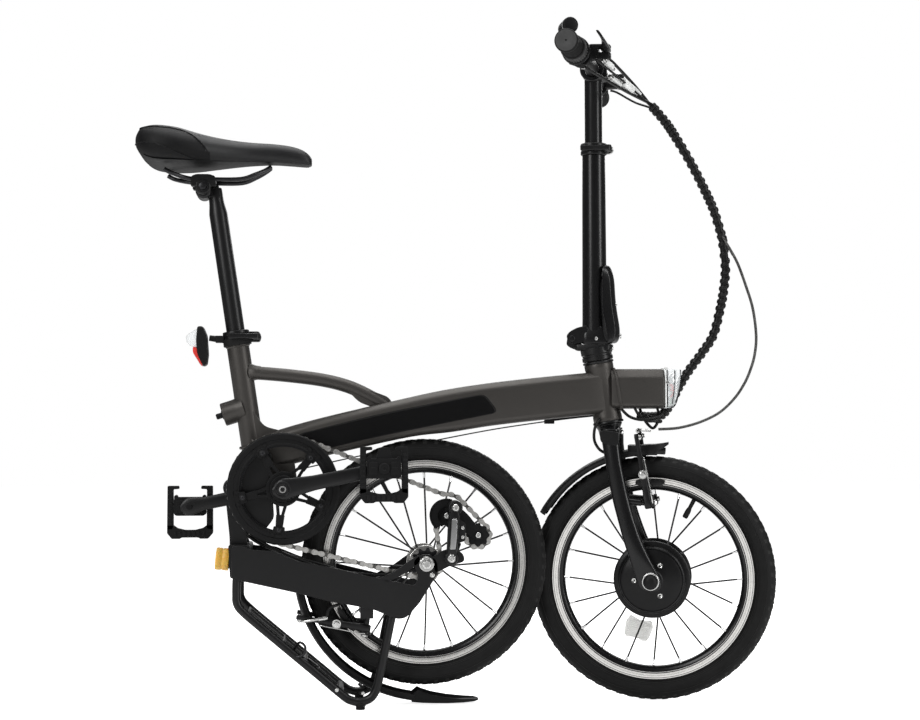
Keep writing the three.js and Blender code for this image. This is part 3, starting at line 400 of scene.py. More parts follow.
CHAIN_STEEL = material("chain_steel", [0.52, 0.51, 0.49], 0.3, 1.0, patch=220, mottle=0.18, grain=2600,
                       bump=0.000001)
CAST_ALLOY = material("cast_alloy", [0.46, 0.46, 0.46], 0.38, 0.9, patch=90, grain=3000, bump=0.000004)
DARK_STEEL = material("dark_steel", [0.03, 0.03, 0.032], 0.34, 0.85, patch=150, grain=2600, bump=0.000002)
BRASS = material("brass", [0.55, 0.40, 0.18], 0.3, 1.0, patch=90)
SADDLE_SKIN = material("saddle_skin", [0.006, 0.006, 0.0065], 0.46, patch=30, grain=2600, bump=0.00009,
                       mottle=0.18, specular=0.3)
SADDLE_SIDE = material("saddle_side", [0.0035, 0.0035, 0.0038], 0.55, patch=40, grain=4200, bump=0.00014,
                       mottle=0.15, specular=0.15)
CABLE_SKIN = material("cable_skin", [0.004, 0.004, 0.004], 0.38, grain=2600, bump=0.00003, specular=0.2)
RED_LENS = clear("red_lens", [0.75, 0.03, 0.02], 0.12, 0.85)
CLEAR_LENS = clear("clear_lens", [0.86, 0.89, 0.9], 0.06, 0.42)
REFLECTOR = clear("reflector_plastic", [0.78, 0.78, 0.76], 0.3, 0.75)
MILKY = material("milky_plastic", [0.72, 0.73, 0.72], 0.35, patch=90)
GREEN = material("green_board", [0.05, 0.28, 0.09], 0.5, patch=200)
# a light grey: the grip caps' own colour, and on the shifter's ribs and ring a painted highlight for the
# light they catch
GRIP_GREY_AND_SHEEN = material("grip_grey_and_rib_sheen", [0.045, 0.045, 0.045], 0.6, patch=80, grain=2600, bump=0.00005,
                    specular=0.2)
SPIRAL = material("spiral_wrap", [0.005, 0.005, 0.005], 0.42, patch=50, grain=2600, bump=0.00003,
                  specular=0.25)
CHAIN_DARK = material("chain_rollers", [0.13, 0.128, 0.122], 0.36, 1.0, patch=220, mottle=0.18, grain=2600,
                      bump=0.000001)
BRAID = material("braided_hose", [0.05, 0.05, 0.048], 0.4, 0.4, patch=420, mottle=0.9, grain=2600,
                 bump=0.00004)
AMBER = material("amber_block", [0.78, 0.46, 0.075], 0.42, patch=35, mottle=0.12, grain=900, bump=0.00008)
AMBER.node_tree.nodes["Principled BSDF"].inputs["Subsurface Weight"].default_value = 0.35
AMBER.node_tree.nodes["Principled BSDF"].inputs["Subsurface Radius"].default_value = (0.006, 0.003, 0.001)


# ---- wheels ---------------------------------------------------------------------------------
TREAD_ROWS = 66


def tyre_section():
    """Half of the tyre's section, from the bead to the middle of the tread, as (radius, y)."""
    return [(159.4, 10.2), (161.2, 12.6), (164.4, 16.0), (168.4, 18.2), (172.6, 18.9), (177.0, 18.3),
            (181.4, 16.6), (185.2, 13.9), (188.2, 10.4), (190.2, 6.4), (191.0, 2.6), (191.1, 0)]


def tread_block(centre, angle, wide, y0, y1, skew, lift):
    """One block of tread standing on the tyre, its base following the round of the tyre."""
    ground = {0: 190.6, 6: 190.0, 9: 188.6, 13: 185.4, 17: 180.0, 18.6: 176.0}
    ys = sorted(ground)

    def floor_r(y):
        return float(np.interp(abs(y), ys, [ground[k] for k in ys]))

    ring = []
    for y, a in ((y0, -wide), (y0, wide), (y1, wide + skew), (y1, -wide + skew)):
        ring.append((y, angle + a))
    low = [polar(centre, floor_r(y) - 0.7, a, y) for y, a in ring]
    y_mid, a_mid = (y0 + y1) / 2, angle + skew / 2
    top = []
    for y, a in ring:
        ty, ta = y + (y_mid - y) * 0.12, a + (a_mid - a) * 0.12
        top.append(polar(centre, floor_r(ty) + lift, ta, ty * (1 + 0.02 * lift)))
    return low, top


def tyre(name, centre, body, place, node):
    half = tyre_section()
    section = half + [(r, -y) for r, y in reversed(half[:-1])]
    inner = [(158.9, -9.4), (158.9, 9.4)]
    base = Shape().turned([*section, *inner, section[0]], centre, ACROSS, 144)
    for ridge in (163.2, 165.0, 178.6):
        for side in (1, -1):
            y = float(np.interp(ridge, [r for r, _ in half], [w for _, w in half]))
            rib = [(ridge - 0.6, side * (y - 0.6)), (ridge, side * (y + 0.55)),
                   (ridge + 0.6, side * (y - 0.6))]
            base.turned([*rib, rib[0]], centre, ACROSS, 144)
    rows = [(0.4, 4.6, 0.62, -0.9), (-4.6, -0.4, 0.62, 0.9), (5.6, 9.8, 0.85, 0.8),
            (-9.8, -5.6, 0.85, -0.8), (10.9, 14.6, 1.05, 0.5), (-14.6, -10.9, 1.05, -0.5)]
    for i in range(TREAD_ROWS):
        for k, (y0, y1, wide, skew) in enumerate(rows):
            angle = 360 / TREAD_ROWS * (i + (0.5 if k % 2 else 0))
            low, top = tread_block(centre, angle, wide, y0, y1, skew, 1.25 if abs(y0) < 10 else 0.9)
            base.rings([low, top])
    return make(name, base, TYRE_RUBBER, body, place, node)


def rim(name, centre, body, place, node):
    """A black box-section rim with a machined braking band on each side."""
    half = [(138.6, 0), (138.8, 3.6), (140.4, 6.8), (144.6, 9.2), (147.2, 10.2), (158.0, 10.9),
            (159.1, 10.6), (159.2, 8.6)]
    section = half + [(154.0, 8.2), (152.5, 0)]
    section += [(r, -y) for r, y in reversed(section[:-1])]
    base = Shape().turned(section, centre, ACROSS, 144)
    made = make(name, base, GLOSS_BLACK, body, place, node)
    bands = Shape()
    grooves = Shape()
    for side in (1, -1):
        for r, half in ((148.9, 0.7), (156.4, 0.4)):
            groove = [(r - half, 10.6), (r - half, 11.45), (r + half, 11.5), (r + half, 10.6)]
            groove = [(q, side * y) for q, y in groove]
            grooves.turned([*groove, groove[0]], centre, ACROSS, 144)
        band = [(147.4, 10.1), (147.5, 10.75), (152.2, 11.05), (152.5, 10.6), (153.0, 10.6), (153.3, 11.15),
                (158.2, 11.35), (158.6, 10.5)]
        band = [(r, side * y) for r, y in band]
        bands.turned([*band, band[0]], centre, ACROSS, 144)
    make(name + "_band", bands, MACHINED, body, place)
    make(name + "_grooves", grooves, DARK_STEEL, body, place)
    return made


def spoke_set(name, centre, hub_r, hub_half, material_, body, place, cross, replaces=()):
    """Thin spokes that cross once, each with its nipple at the rim."""
    wires, nipples = Shape(), Shape()
    for i in range(SPOKES):
        side = 1 if i % 2 else -1
        lean = cross if (i // 2) % 2 else -cross
        angle = 360 / SPOKES * i
        start = polar(centre, hub_r, angle + lean, side * hub_half)
        end = polar(centre, RIM_INNER_R + 0.4, angle, side * 2.6)
        out = start + ACROSS * side * 1.2
        wires.rod(out, end, 1.45, sides=8)
        wires.turned([(0, -1.3), (1.9, -1.3), (1.9, 0.1), (0, 0.8)], start + ACROSS * side * 2.0,
                     ACROSS * side, 10)
        way = (end - out) / np.linalg.norm(end - out)
        nipples.rod(end - way * 8.5, end, 1.7, 2.4, 10)
    make(name + "_spokes", wires, material_, body, place, replaces)
    make(name + "_nipples", nipples, CHROME, body, place)


def valve(name, centre, angle, body, place):
    shape = Shape()
    base, tip = polar(centre, 140, angle), polar(centre, 112, angle)
    shape.rod(base, polar(centre, 124, angle), 3.4, 3.1, 14)
    cap = [(0, 17), (3.4, 17), (4.4, 15), (4.4, 5), (3.4, 0), (0, 0)]
    shape.turned(cap[::-1], polar(centre, 124, angle), tip - base, 14)
    make(name + "_valve", shape, RUBBER, body, place)


def reflector(name, centre, angle, body, place):
    """A milky plastic reflector clipped between two spokes."""
    u = polar([0, 0, 0], 1, angle)
    t = polar([0, 0, 0], 1, angle + 90)
    outline = []
    for r, w in ((66, -18), (70, 0), (66, 18), (76, 22), (94, 20), (101, 16), (98, 0), (101, -16),
                 (94, -20), (76, -22)):
        p = np.asarray(centre, float) + u * r + t * w
        outline.append((p[0], p[2]))
    shape = Shape().plate(rounded(outline, 3), -6.5, -2.5)
    for k in range(10):
        a, b = np.asarray(centre, float) + u * (72 + 2.7 * k), t * 18
        shape.rod(a - b - ACROSS * 6.5, a + b - ACROSS * 6.5, 0.8, sides=8)
    make(name + "_reflector", shape, REFLECTOR, body, place, bevel=0.5)


def front_wheel():
    tyre("front_tyre_skin", FRONT_AXLE, "front_wheel", steered, "front_tyre")
    rim("front_rim_body", FRONT_AXLE, "front_wheel", steered, "front_rim")
    hub_drum()
    spoke_set("front", FRONT_AXLE, 57, 25.5, BLACK_PAINT, "front_wheel", steered, 7, "front_hub_motor")
    valve("front", FRONT_AXLE, 62, "front_wheel", steered)
    reflector("front", FRONT_AXLE, 254, "front_wheel", steered)
    front_axle()


def hub_drum():
    """The round housing of the motor, with three screws on each face."""
    drum = Shape()
    shell = [(8.4, -49.5), (15, -49.5), (16, -47), (19, -45.2), (30, -43.4), (44, -40.6), (50.5, -37.4),
             (53, -34.5), (53.4, -31),
             (58.6, -30), (60, -28.6), (60, -24), (58.6, -22.6), (54.5, -21.6), (54.5, 21.6), (58.6, 22.6),
             (60, 24), (60, 28.6),
             (58.6, 30), (53.4, 31), (53, 34.5), (50.5, 37.4), (44, 40.6), (19, 45.2), (16, 47), (15, 49.5),
             (8.4, 49.5)]
    drum.turned([*shell, shell[0]], FRONT_AXLE, ACROSS, 96)
    step = [(48.2, -39.1), (49, -39.75), (49.8, -38.4)]
    drum.turned([*step, step[0]], FRONT_AXLE, ACROSS, 96)
    make("hub_drum", drum, SATIN_PLASTIC, "front_wheel", steered)
    screws = Shape()
    for k in range(3):
        for side in (-1, 1):
            at = polar(FRONT_AXLE, 27, 60 + 120 * k, side * 43.4)
            screws.turned([(0, 0.4), (2, 0.4), (2.2, 2.2), (3.4, 2.6), (4.6, 1.2), (4.8, 0)], at,
                          ACROSS * side, 28)
    make("hub_screws", screws, STEEL, "front_wheel", steered)


def front_axle():
    axle = Shape().rod(FRONT_AXLE - ACROSS * 74, FRONT_AXLE + ACROSS * 74, 6, sides=24)
    for side in (-1, 1):
        axle.nut(FRONT_AXLE + ACROSS * side * 61.4, ACROSS * side, 10.2, 9.5)
        axle.turned([(0, 0), (13, 0), (13, 1.2), (0, 1.2)], FRONT_AXLE + ACROSS * side * 61.2 + UP * 1.2,
                    ACROSS * side, 32)
        axle.turned([(0, 0), (6.6, 0), (6.6, 2), (4.8, 3.6), (0, 4)], FRONT_AXLE + ACROSS * side * 70.8,
                    ACROSS * side, 24)
    make("front_axle_set", axle, STEEL, "fork", steered, "front_axle", bevel=0.4)
    caps = Shape()
    caps.turned([(0, 0), (11.6, 0), (11.6, 6), (9.8, 11), (6, 13.4), (0, 13.8)], FRONT_AXLE - ACROSS * 61.6,
                -ACROSS, 32)
    make("front_axle_cap", caps, BLACK_PLASTIC, "fork", steered)


def rear_wheel():
    tyre("rear_tyre_skin", REAR_AXLE, "rear_wheel", standing, "rear_tyre")
    rim("rear_rim_body", REAR_AXLE, "rear_wheel", standing, "rear_rim")
    hub = Shape()
    shell = [(6, -55), (9.5, -55), (10.5, -50), (12, -38), (17, -36.4), (26.2, -35.2), (26.8, -34),
             (26.8, -32), (26.2, -31), (18, -29.6), (14.6, -24), (13.6, -12), (13.4, 0)]
    full = shell + [(r, -y) for r, y in reversed(shell[:-1])]
    hub.turned([*full, full[0]], REAR_AXLE, ACROSS, 48)
    make("rear_hub_shell", hub, MACHINED, "rear_wheel", standing, bevel=0.3)
    spoke_set("rear", REAR_AXLE, 23.5, 33, BLACK_PAINT, "rear_wheel", standing, 14, "rear_hub")
    valve("rear", REAR_AXLE, 118, "rear_wheel", standing)
    axle = Shape().rod(REAR_AXLE - ACROSS * 75, REAR_AXLE + ACROSS * 75, 4.9, sides=24)
    for side in (-1, 1):
        axle.turned([(0, 0), (11.6, 0), (11.6, 1.6), (9.9, 2.2), (9.9, 3.2), (0, 3.2)],
                    REAR_AXLE + ACROSS * side * 65.3, ACROSS * side, 32)
        axle.nut(REAR_AXLE + ACROSS * side * 67.2, ACROSS * side, 8.2, 6.8)
    make("rear_axle_set", axle, STEEL, "rear_frame", standing, "rear_axle", bevel=0.4)


# ---- toothed wheels and chain ---------------------------------------------------------------
PITCH = 12.7


def toothed(teeth, root, tip, flat=0.35):
    """The outline of a sprocket about the origin, as (radius, degrees)."""
    out = []
    for i in range(teeth):
        a0 = 360 / teeth * i
        for t, r in ((0.0, root), (0.18, root + 0.15 * (tip - root)), (0.36, tip - 0.25),
                     (0.5 - flat * 0.2, tip),
                     (0.5 + flat * 0.2, tip), (0.64, tip - 0.25), (0.82, root + 0.15 * (tip - root))):
            out.append((r, a0 + 360 / teeth * t))
    return out


def ring_plate(shape, centre, outer, inner, y0, y1):
    """A flat ring with an outer outline of (radius, degrees) and matching inner radius."""
    rings = []
    for y, line in ((y0, outer), (y1, outer), (y1, inner), (y0, inner)):
        rings.append([polar(centre, r, a, y) for r, a in line])
    return shape.rings(rings, closed=True)


def sprocket(shape, centre, teeth, root, tip, bore, half):
    outer = toothed(teeth, root, tip)
    inner = [(bore, a) for _, a in outer]
    return ring_plate(shape, centre, outer, inner, CHAINLINE - half, CHAINLINE + half)


def cog():
    shape = sprocket(Shape(), REAR_AXLE, 11, 19.0, 24.2, 13.4, 0.95)
    shape.turned([(13.4, -1.8), (17, -1.8), (17, 1.8), (13.4, 1.8), (13.4, -1.8)],
                 REAR_AXLE + ACROSS * CHAINLINE, ACROSS, 32)
    make("rear_sprocket", shape, DARK_STEEL, "cog", standing, "rear_cog", bevel=0.2)


RING_R, COG_CHAIN_R, PULLEY_CHAIN_R = 82.6, 24.4, 19.4
GUIDE = np.array([-17, 0, 294.0])
TENSION = np.array([31.5, 0, 263.5])


def chain_line():
    """The closed line that the chain's pins follow, in the order it runs."""
    def arc(centre, r, start, end, n):
        return [polar(centre, r, start + (end - start) * i / n) for i in range(n + 1)]
    line = [*arc(CRANK, RING_R, 66, 256, 60), *arc(REAR_AXLE, COG_CHAIN_R, 256, 370, 24),
            *arc(GUIDE, PULLEY_CHAIN_R, 190, 15, 24), *arc(TENSION, PULLEY_CHAIN_R, 195, 420, 30)]
    line += [np.array([-2, 0, 325.5]), np.array([-24, 0, 327.2])]
    return np.array(line)


def evenly(line, count):
    """count points spaced evenly along a closed line."""
    loop = np.vstack([line, line[:1]])
    run = np.concatenate([[0], np.cumsum(np.linalg.norm(np.diff(loop, axis=0), axis=1))])
    marks = np.linspace(0, run[-1], count, endpoint=False)
    return np.stack([np.interp(marks, run, loop[:, k]) for k in range(3)], 1), run[-1]


def link_plate(shape, a, b, y0, y1, big, waist):
    """A chain side plate with two round ends and a narrow waist."""
    mid, way = (a + b) / 2, (b - a) / np.linalg.norm(b - a)
    up = np.array([-way[2], 0, way[0]])
    half = np.linalg.norm(b - a) / 2
    outline = []
    for sign, base in ((1, 0), (-1, 180)):
        for t in range(-110, 111, 44):
            c = math.radians(t + base)
            outline.append(mid + way * (sign * half + big * math.cos(c)) + up * (big * math.sin(c)))
        outline.append(mid + up * (sign * waist))
    shape.plate([(p[0], p[2]) for p in outline], y0, y1)


def chain():
    length = evenly(chain_line(), 4)[1]
    line = evenly(chain_line(), 2 * round(length / PITCH / 2))[0]
    plates, inner, pins = Shape(), Shape(), Shape()
    count = len(line)
    for i in range(count):
        a, b = line[i], line[(i + 1) % count]
        wide = 3.35 if i % 2 else 2.35
        for side in (1, -1):
            y = CHAINLINE + side * wide
            link_plate(plates if i % 2 else inner, a, b, y - 0.5, y + 0.5, 4.3, 2.5)
        pins.rod(a + ACROSS * (CHAINLINE - 4.3), a + ACROSS * (CHAINLINE + 4.3), 1.9, sides=10)
        inner.rod(a + ACROSS * (CHAINLINE - 1.75), a + ACROSS * (CHAINLINE + 1.75), 3.5, sides=12)
    links = [make("chain_plates", plates, CHAIN_STEEL, None, standing, "chain"),
             make("chain_pins", pins, STEEL, None, standing),
             make("chain_inner", inner, CHAIN_DARK, None, standing)]
    for obj in links:
        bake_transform(obj)


# ---- cranks and pedals ----------------------------------------------------------------------
def crank_tip(side):
    return polar(CRANK, CRANK_LENGTH, CRANK_TURN if side < 0 else CRANK_TURN + 180)


def crank_arm(side):
    """A forged arm that narrows towards the pedal, with its axle, bolt and washer."""
    tip = crank_tip(side)
    way = (tip - CRANK) / CRANK_LENGTH
    up = np.array([-way[2], 0, way[0]])
    out = ACROSS * side
    rings = []
    for t in np.linspace(-0.10, 1.09, 30):
        root = CRANK + way * (CRANK_LENGTH * t)
        wide = np.interp(t, [-0.1, -0.05, 0.0, 0.1, 0.3, 0.86, 1.0, 1.06, 1.09],
                         [4, 13, 17.2, 14.8, 11.6, 10.4, 14.6, 12, 4])
        y_mid = np.interp(t, [0, 0.25, 1], [84.6, 84.2, 84])
        thick = np.interp(t, [-0.1, 0, 0.1, 1, 1.07], [4.6, 6.2, 6.0, 5.6, 4.4])
        ring = []
        for k in range(16):
            a = 2 * math.pi * (k + 0.5) / 16
            c, s = math.cos(a), math.sin(a)
            ring.append(root + up * (wide * eased(c, 0.55)) + out * (y_mid + thick * eased(s, 0.55)))
        rings.append(ring)
    arm = Shape().rings(rings)
    if side < 0:
        arm.turned([(0, 0), (15, 0), (15, 20), (0, 20)], CRANK + out * 58, out, 32)
        arm.rod(CRANK + out * 92, CRANK - out * 36, 8.5)
    else:
        arm.rod(CRANK + out * 40, CRANK + out * 80, 13, 14.4)
    arm.turned([(9.2, 0), (12.6, 0), (12.2, 1.2), (9.6, 1.2), (9.2, 0)], CRANK + out * 90.2, out, 40)
    bolts = Shape()
    bolts.turned([(0, -1.5), (3.0, -1.5), (3.4, 0.6), (5.4, 0.6), (5.8, -2), (5.8, -3)], CRANK + out * 91.6,
                 out, 32)
    washer = Shape().turned([(5.9, -1.2), (8.0, -1.2), (8.0, 0), (5.9, 0.2), (5.9, -1.2)],
                            CRANK + out * 91.4, out, 32)
    name = "right" if side < 0 else "left"
    make("crank_arm_" + name, arm, BLACK_PAINT, "crankset", standing, "crank_" + name,
         bevel=0.5)
    make("crank_bolt_" + name, bolts, STEEL, "crankset", standing)
    make("crank_washer_" + name, washer, BRASS, "crankset", standing)
    eye = Shape().turned([(4.6, -0.6), (6.6, -0.6), (6.4, 0.5), (4.8, 0.5), (4.6, -0.6)], tip + out * 90,
                         out, 32)
    eye.bolt(tip + out * 89.4, out, 4.3, 1.2)
    make("pedal_eye_" + name, eye, DARK_STEEL, "crankset", standing)


ARM_TURN = 48
SPIDER_LEGS = [(58, 69, 8.6, 9.6, 0, -55.4, -48.5), (40, 64, 6.6, 5.4, 0, -53.2, -47.6),
               (17, 44, 2.6, 2.4, 7.6, -53.0, -47.6), (17, 44, 2.6, 2.4, -7.6, -53.0, -47.6)]


def spider_arm(shape, along, across):
    """One arm of the spider: two legs with a slot between them, a web, and a lug on the ring."""
    for inner, outer, w0, w1, shift, y0, y1 in SPIDER_LEGS:
        near, far = CRANK + along * inner + across * shift, CRANK + along * outer + across * (shift * 0.35)
        outline = [near - across * w0, far - across * w1, far + across * w1, near + across * w0]
        shape.plate(rounded([(p[0], p[2]) for p in outline], 1.6), y0, y1)
    tip = CRANK + along * 63
    shape.turned([(0, 0), (5.6, 0), (5.6, 1.2), (3.8, 2.0), (0, 2.0)], tip - ACROSS * 55.4, -ACROSS, 24)
    for turn in (-1, 1):
        notch = CRANK + along * 71.5 + across * (turn * 9)
        shape.rod(notch - ACROSS * 55.2, notch - ACROSS * 56.2, 3, sides=16)


def chain_guard():
    """The moulded guard outside the teeth, with stepped ledges and five lugs, and the spider."""
    guard = Shape()
    step = [(66.4, -52.2), (66.4, -54.6), (68.4, -55.6), (69.8, -55.6), (70.4, -54.4), (75.6, -54.0),
            (76.4, -55.2), (83.6, -55.2), (86, -53.4), (86, -50.4), (80.5, -49.6), (66.4, -49.6)]
    guard.turned([*step, step[0]], CRANK, ACROSS, 128)
    for k in range(5):
        a = ARM_TURN + 72 * k
        along, across = polar([0, 0, 0], 1, a), polar([0, 0, 0], 1, a + 90)
        spider_arm(guard, along, across)
    guard.turned([(9, -4.4), (20, -4.4), (21.5, -2), (21.5, 2.6), (19.5, 4.4), (9, 4.4), (9, -4.4)],
                 CRANK - ACROSS * 52.2, ACROSS, 48)
    guard.turned([(21, -2.2), (26, -2.2), (27, -1), (27, 1.6), (21, 1.6), (21, -2.2)], CRANK - ACROSS * 51,
                 ACROSS, 48)
    make("chain_guard", guard, BLACK_PLASTIC, "crankset", standing, bevel=0.4)
    teeth = sprocket(Shape(), CRANK, 40, 77.6, 82.4, 64.5, 1.1)
    make("chainring_teeth", teeth, DARK_STEEL, "crankset", standing, "chainring",
         bevel=0.2)
    bolts = Shape()
    for k in range(5):
        at = polar(CRANK, 63, ARM_TURN + 72 * k)
        bolts.bolt(at - ACROSS * 57.2, -ACROSS, 3.2, 1.2)
        bolts.turned([(0, 0), (4.6, 0), (4.2, 1.4), (0, 1.4)], at - ACROSS * 43.2, ACROSS, 20)
    make("chainring_bolts", bolts, DARK_STEEL, "crankset", standing)


def pedal(side):
    """A folding pedal, its frame hanging flat beside the crank."""
    x, _, z = crank_tip(side)
    name = "right" if side < 0 else "left"
    pedal_block(side, name, x, z)
    pedal_frame(side, name, x, z)


def pedal_block(side, name, x, z):
    inner, outer = sorted((side * 93.5, side * 112.5))
    block = Shape()
    block.rod([x, side * 77, z], [x, side * 94, z], 5.2, 6.8)
    body = [(x - 25.6, z - 12), (x - 22, z - 15), (x + 22, z - 15), (x + 25.6, z - 12), (x + 25.6, z + 12),
            (x + 22, z + 15), (x - 22, z + 15), (x - 25.6, z + 12)]
    block.plate(rounded(body, 2), inner, outer)
    for end in (-1, 1):
        ear = [(x + end * 19.4, z + 10), (x + end * 25.4, z + 10), (x + end * 25.4, z + 17),
               (x + end * 22, z + 19), (x + end * 19.4, z + 16)]
        block.plate(rounded(ear, 1.5), *sorted((side * 95.5, side * 110.5)))
        for y, lift in ((side * 112.4, side), (side * 93.6, -side)):
            ledge = [(x + end * 10, z - 10), (x + end * 23, z - 10), (x + end * 23, z + 10),
                     (x + end * 10, z + 10)]
            block.plate(rounded(ledge, 2.5), *sorted((y, y + lift * 1.8)))
            slot = [(x + end * 12, z - 2), (x + end * 21, z - 2), (x + end * 21, z + 2),
                    (x + end * 12, z + 2)]
            block.plate(rounded(slot, 1), *sorted((y, y + lift * 2.6)))
    if side < 0:
        crest = [(x - 12, z + 14), (x + 12, z + 14), (x + 8, z + 32), (x - 8, z + 32)]
        block.plate(rounded(crest, 3), -109, -97)
    block.turned([(0, 0), (8.4, 0), (8.4, 1.8), (7, 2.8), (3.2, 2.8), (2.4, 1.4), (0, 1.4)],
                 [x, side * 112.4, z], [0, side, 0], 32)
    make("pedal_block_" + name, block, BLACK_PLASTIC, "pedal_" + name, standing, "pedal_bracket_" + name,
         bevel=0.5)


def pedal_frame(side, name, x, z):
    ys = sorted((side * 96, side * 110))
    cage = Shape()
    for end in (-1, 1):
        leg = [(36, 33), (18, 33), (17.5, 28), (27, 27.4), (26.6, -36), (36.5, -38)]
        cage.plate(rounded([(x + end * dx, z + dz) for dx, dz in leg][::end], 1.5, 2), *ys)
        for k in range(7):
            zz = z - 29 + 8 * k
            cage.box(sorted((x + end * 28.5, x + end * 34.5)), sorted((side * 95.2, side * 110.8)),
                     (zz, zz + 3.4))
    foot = [(-36.5, -30), (-36.5, -43), (-29, -52), (-16, -52), (-13, -50), (13, -50), (16, -52), (29, -52),
            (36.5, -43), (36.5, -30), (27, -30), (20, -35), (8, -38), (-8, -38), (-20, -35), (-27, -30)]
    cage.plate(rounded([(x + dx, z + dz) for dx, dz in foot], 1.5, 2), *ys)
    for k in range(7):
        xx = x - 26 + 7.6 * k
        cage.box((xx, xx + 4.4), sorted((side * 95.1, side * 110.9)), (z - 48, z - 40))
    make("pedal_frame_" + name, cage, BLACK_PLASTIC, "pedal_fold_" + name, standing, "pedal_cage_" + name,
         bevel=0.5)


# ---- main frame -----------------------------------------------------------------------------
# The beam's top and bottom edge in X and Z and half its width, from the seat tube to the head tube.
BEAM = [(-318, 414, -288, 366, 20), (-250.6, 434.8, -232, 379, 27), (-185, 451.8, -168, 394.5, 27),
        (-85.4, 474.5, -70, 415.5, 27),
        (-19.9, 488.5, -6, 422.8, 27), (48.2, 499, 58, 432.5, 27), (127.7, 508, 134, 441, 27),
        (206, 515.5, 212, 448.5, 25), (236, 518, 242, 451, 21)]
PANEL = [(-250.6, 419.2), (-117.6, 452.4), (44.9, 482.3), (67.6, 453.3), (-117.7, 417.1), (-211.6, 395.6)]
BOSS_FACE = np.array([-362.5, 0, 450.8])  # where the rubber block meets the frame when it is open
BOSS_OUT = np.array([-0.953, 0, -0.303])
# The section of the box in front of the head tube, in Y and Z.
BOX_SECTION = [(21, 459), (27, 464), (27, 507), (17, 521.5), (-17, 521.5), (-27, 507), (-27, 464),
               (-21, 459)]
BOX_RADII = [3, 3, 3, 4, 4, 3, 3, 3]


def beam_ring(station):
    x_top, z_top, x_low, z_low, half = station
    height = math.hypot(x_top - x_low, z_top - z_low)
    corners = [(0, 0.72 * half), (0.1 * height, half), (0.86 * height, half), (height, 0.62 * half)]
    loop = corners + [(h, -y) for h, y in reversed(corners)]
    way = np.array([x_top - x_low, 0, z_top - z_low]) / height
    return [np.array([x_low, y, z_low]) + way * h for h, y in rounded(loop, [5, 4, 5, 4, 4, 5, 4, 5], 4)]


def weld(shape, points, r=2.6, closed=True, pitch=5.0):
    """A ripple of weld metal along a line."""
    line = spline(points, 14, closed)
    length = np.sum(np.linalg.norm(np.diff(line, axis=0), axis=1))
    beads = max(4, round(length / pitch))
    return shape.rings(sections(line, lambda t: r * (0.86 + 0.2 * abs(math.sin(math.pi * beads * t))), 8,
                                closed),
                       closed=closed)


def circle(centre, axis, r, n=16, squeeze=1.0):
    u, v, _ = basis(axis)
    return [np.asarray(centre, float) + u * (r * squeeze * math.cos(2 * math.pi * i / n))
            + v * (r * math.sin(2 * math.pi * i / n))
            for i in range(n)]


def beam_shell():
    beam = Shape().rings([beam_ring(s) for s in spline(BEAM, 5)])
    make("beam_shell", beam, GUNMETAL, "main_frame", standing, "main_frame", bevel=0.4)


def frame_tubes():
    """Seat tube, head tube, top tube, crank shell, fold barrel and the plates between them."""
    tubes = Shape()
    seat_tube = [(15.4, -178), (17.2, -178), (17.5, -176), (17.5, -9), (18.9, -7.5), (18.9, -0.6),
                 (18.2, 0), (15.2, 0)]
    tubes.turned(seat_tube, on_seat(0), SEAT_AXIS, 48)
    head = [(17.5, -46), (22.2, -46), (22.9, -44.5), (22.9, -38), (22.4, -36.5), (22.4, 36.5), (22.9, 38),
            (22.9, 44.5), (22.2, 46), (17.5, 46)]
    tubes.turned([*head, head[0]], on_steer(0), STEER_AXIS, 48)
    top = [(-334, 0, 517), (-311, 0, 516.3), (-263, 0, 512.3), (-208.5, 0, 505.2), (-167.8, 0, 494.9),
           (-133.3, 0, 479.2), (-105, 0, 462)]
    tubes.tube(top, 10.5, 32, 8)
    tubes.rod(CRANK - ACROSS * 34, CRANK + ACROSS * 34, 21, sides=48)
    tubes.rod(FOLD_PIVOT - ACROSS * 28, FOLD_PIVOT + ACROSS * 28, 15, sides=40)
    tubes.turned([(0, 0), (17, 0), (13.4, 5), (11.4, 11), (10.6, 18), (0, 18)], [-322, 0, 516.9],
                 [1, 0, -0.02], 40)
    tubes.plate(rounded([(-316, 458), (-299, 433), (-272, 426), (-300, 405), (-322, 420)], [3, 9, 3, 3, 3],
                        5), -15, 15)
    tubes.plate(rounded([(-176, 496), (-150, 470), (-128, 462), (-96, 464), (-104, 478), (-128, 487)],
                        [3, 8, 3, 3, 8, 8], 5), -8, 8)
    gusset = [(-352, 322), (-268, 315), (-247, 345), (-255, 400), (-320, 406), (-354, 352)]
    tubes.plate(rounded(gusset, 10, 4), -21, 21)
    make("frame_tubes", tubes, GUNMETAL, "main_frame", standing, bevel=0.6)


def front_box():
    box = Shape()
    soft = rounded(BOX_SECTION, BOX_RADII, 4)
    small = rounded([(y * 0.94, 490 + (z - 490) * 0.95) for y, z in BOX_SECTION], BOX_RADII, 4)
    layers = ((246, small), (252, soft), (328.5, soft), (331, small))
    box.rings([[(x, y, z) for y, z in loop] for x, loop in layers])
    make("front_box", box, GUNMETAL, "main_frame", standing, bevel=0.5)


def frame_welds():
    welds = Shape()
    weld(welds, [(256.5 - 0.162 * (z - 490), y, z) for y, z in rounded(BOX_SECTION, 6, 3)], 2.5, pitch=5)
    weld(welds, circle(on_seat(-46) + np.array([12, 0, -1]), [1, 0, 0.02], 12.3, squeeze=1), 2.4)
    weld(welds, circle(on_seat(-165), SEAT_AXIS, 18.6), 2.4)
    weld(welds, beam_ring(BEAM[0]), 2.4)
    make("frame_welds", welds, GUNMETAL, "main_frame", standing)


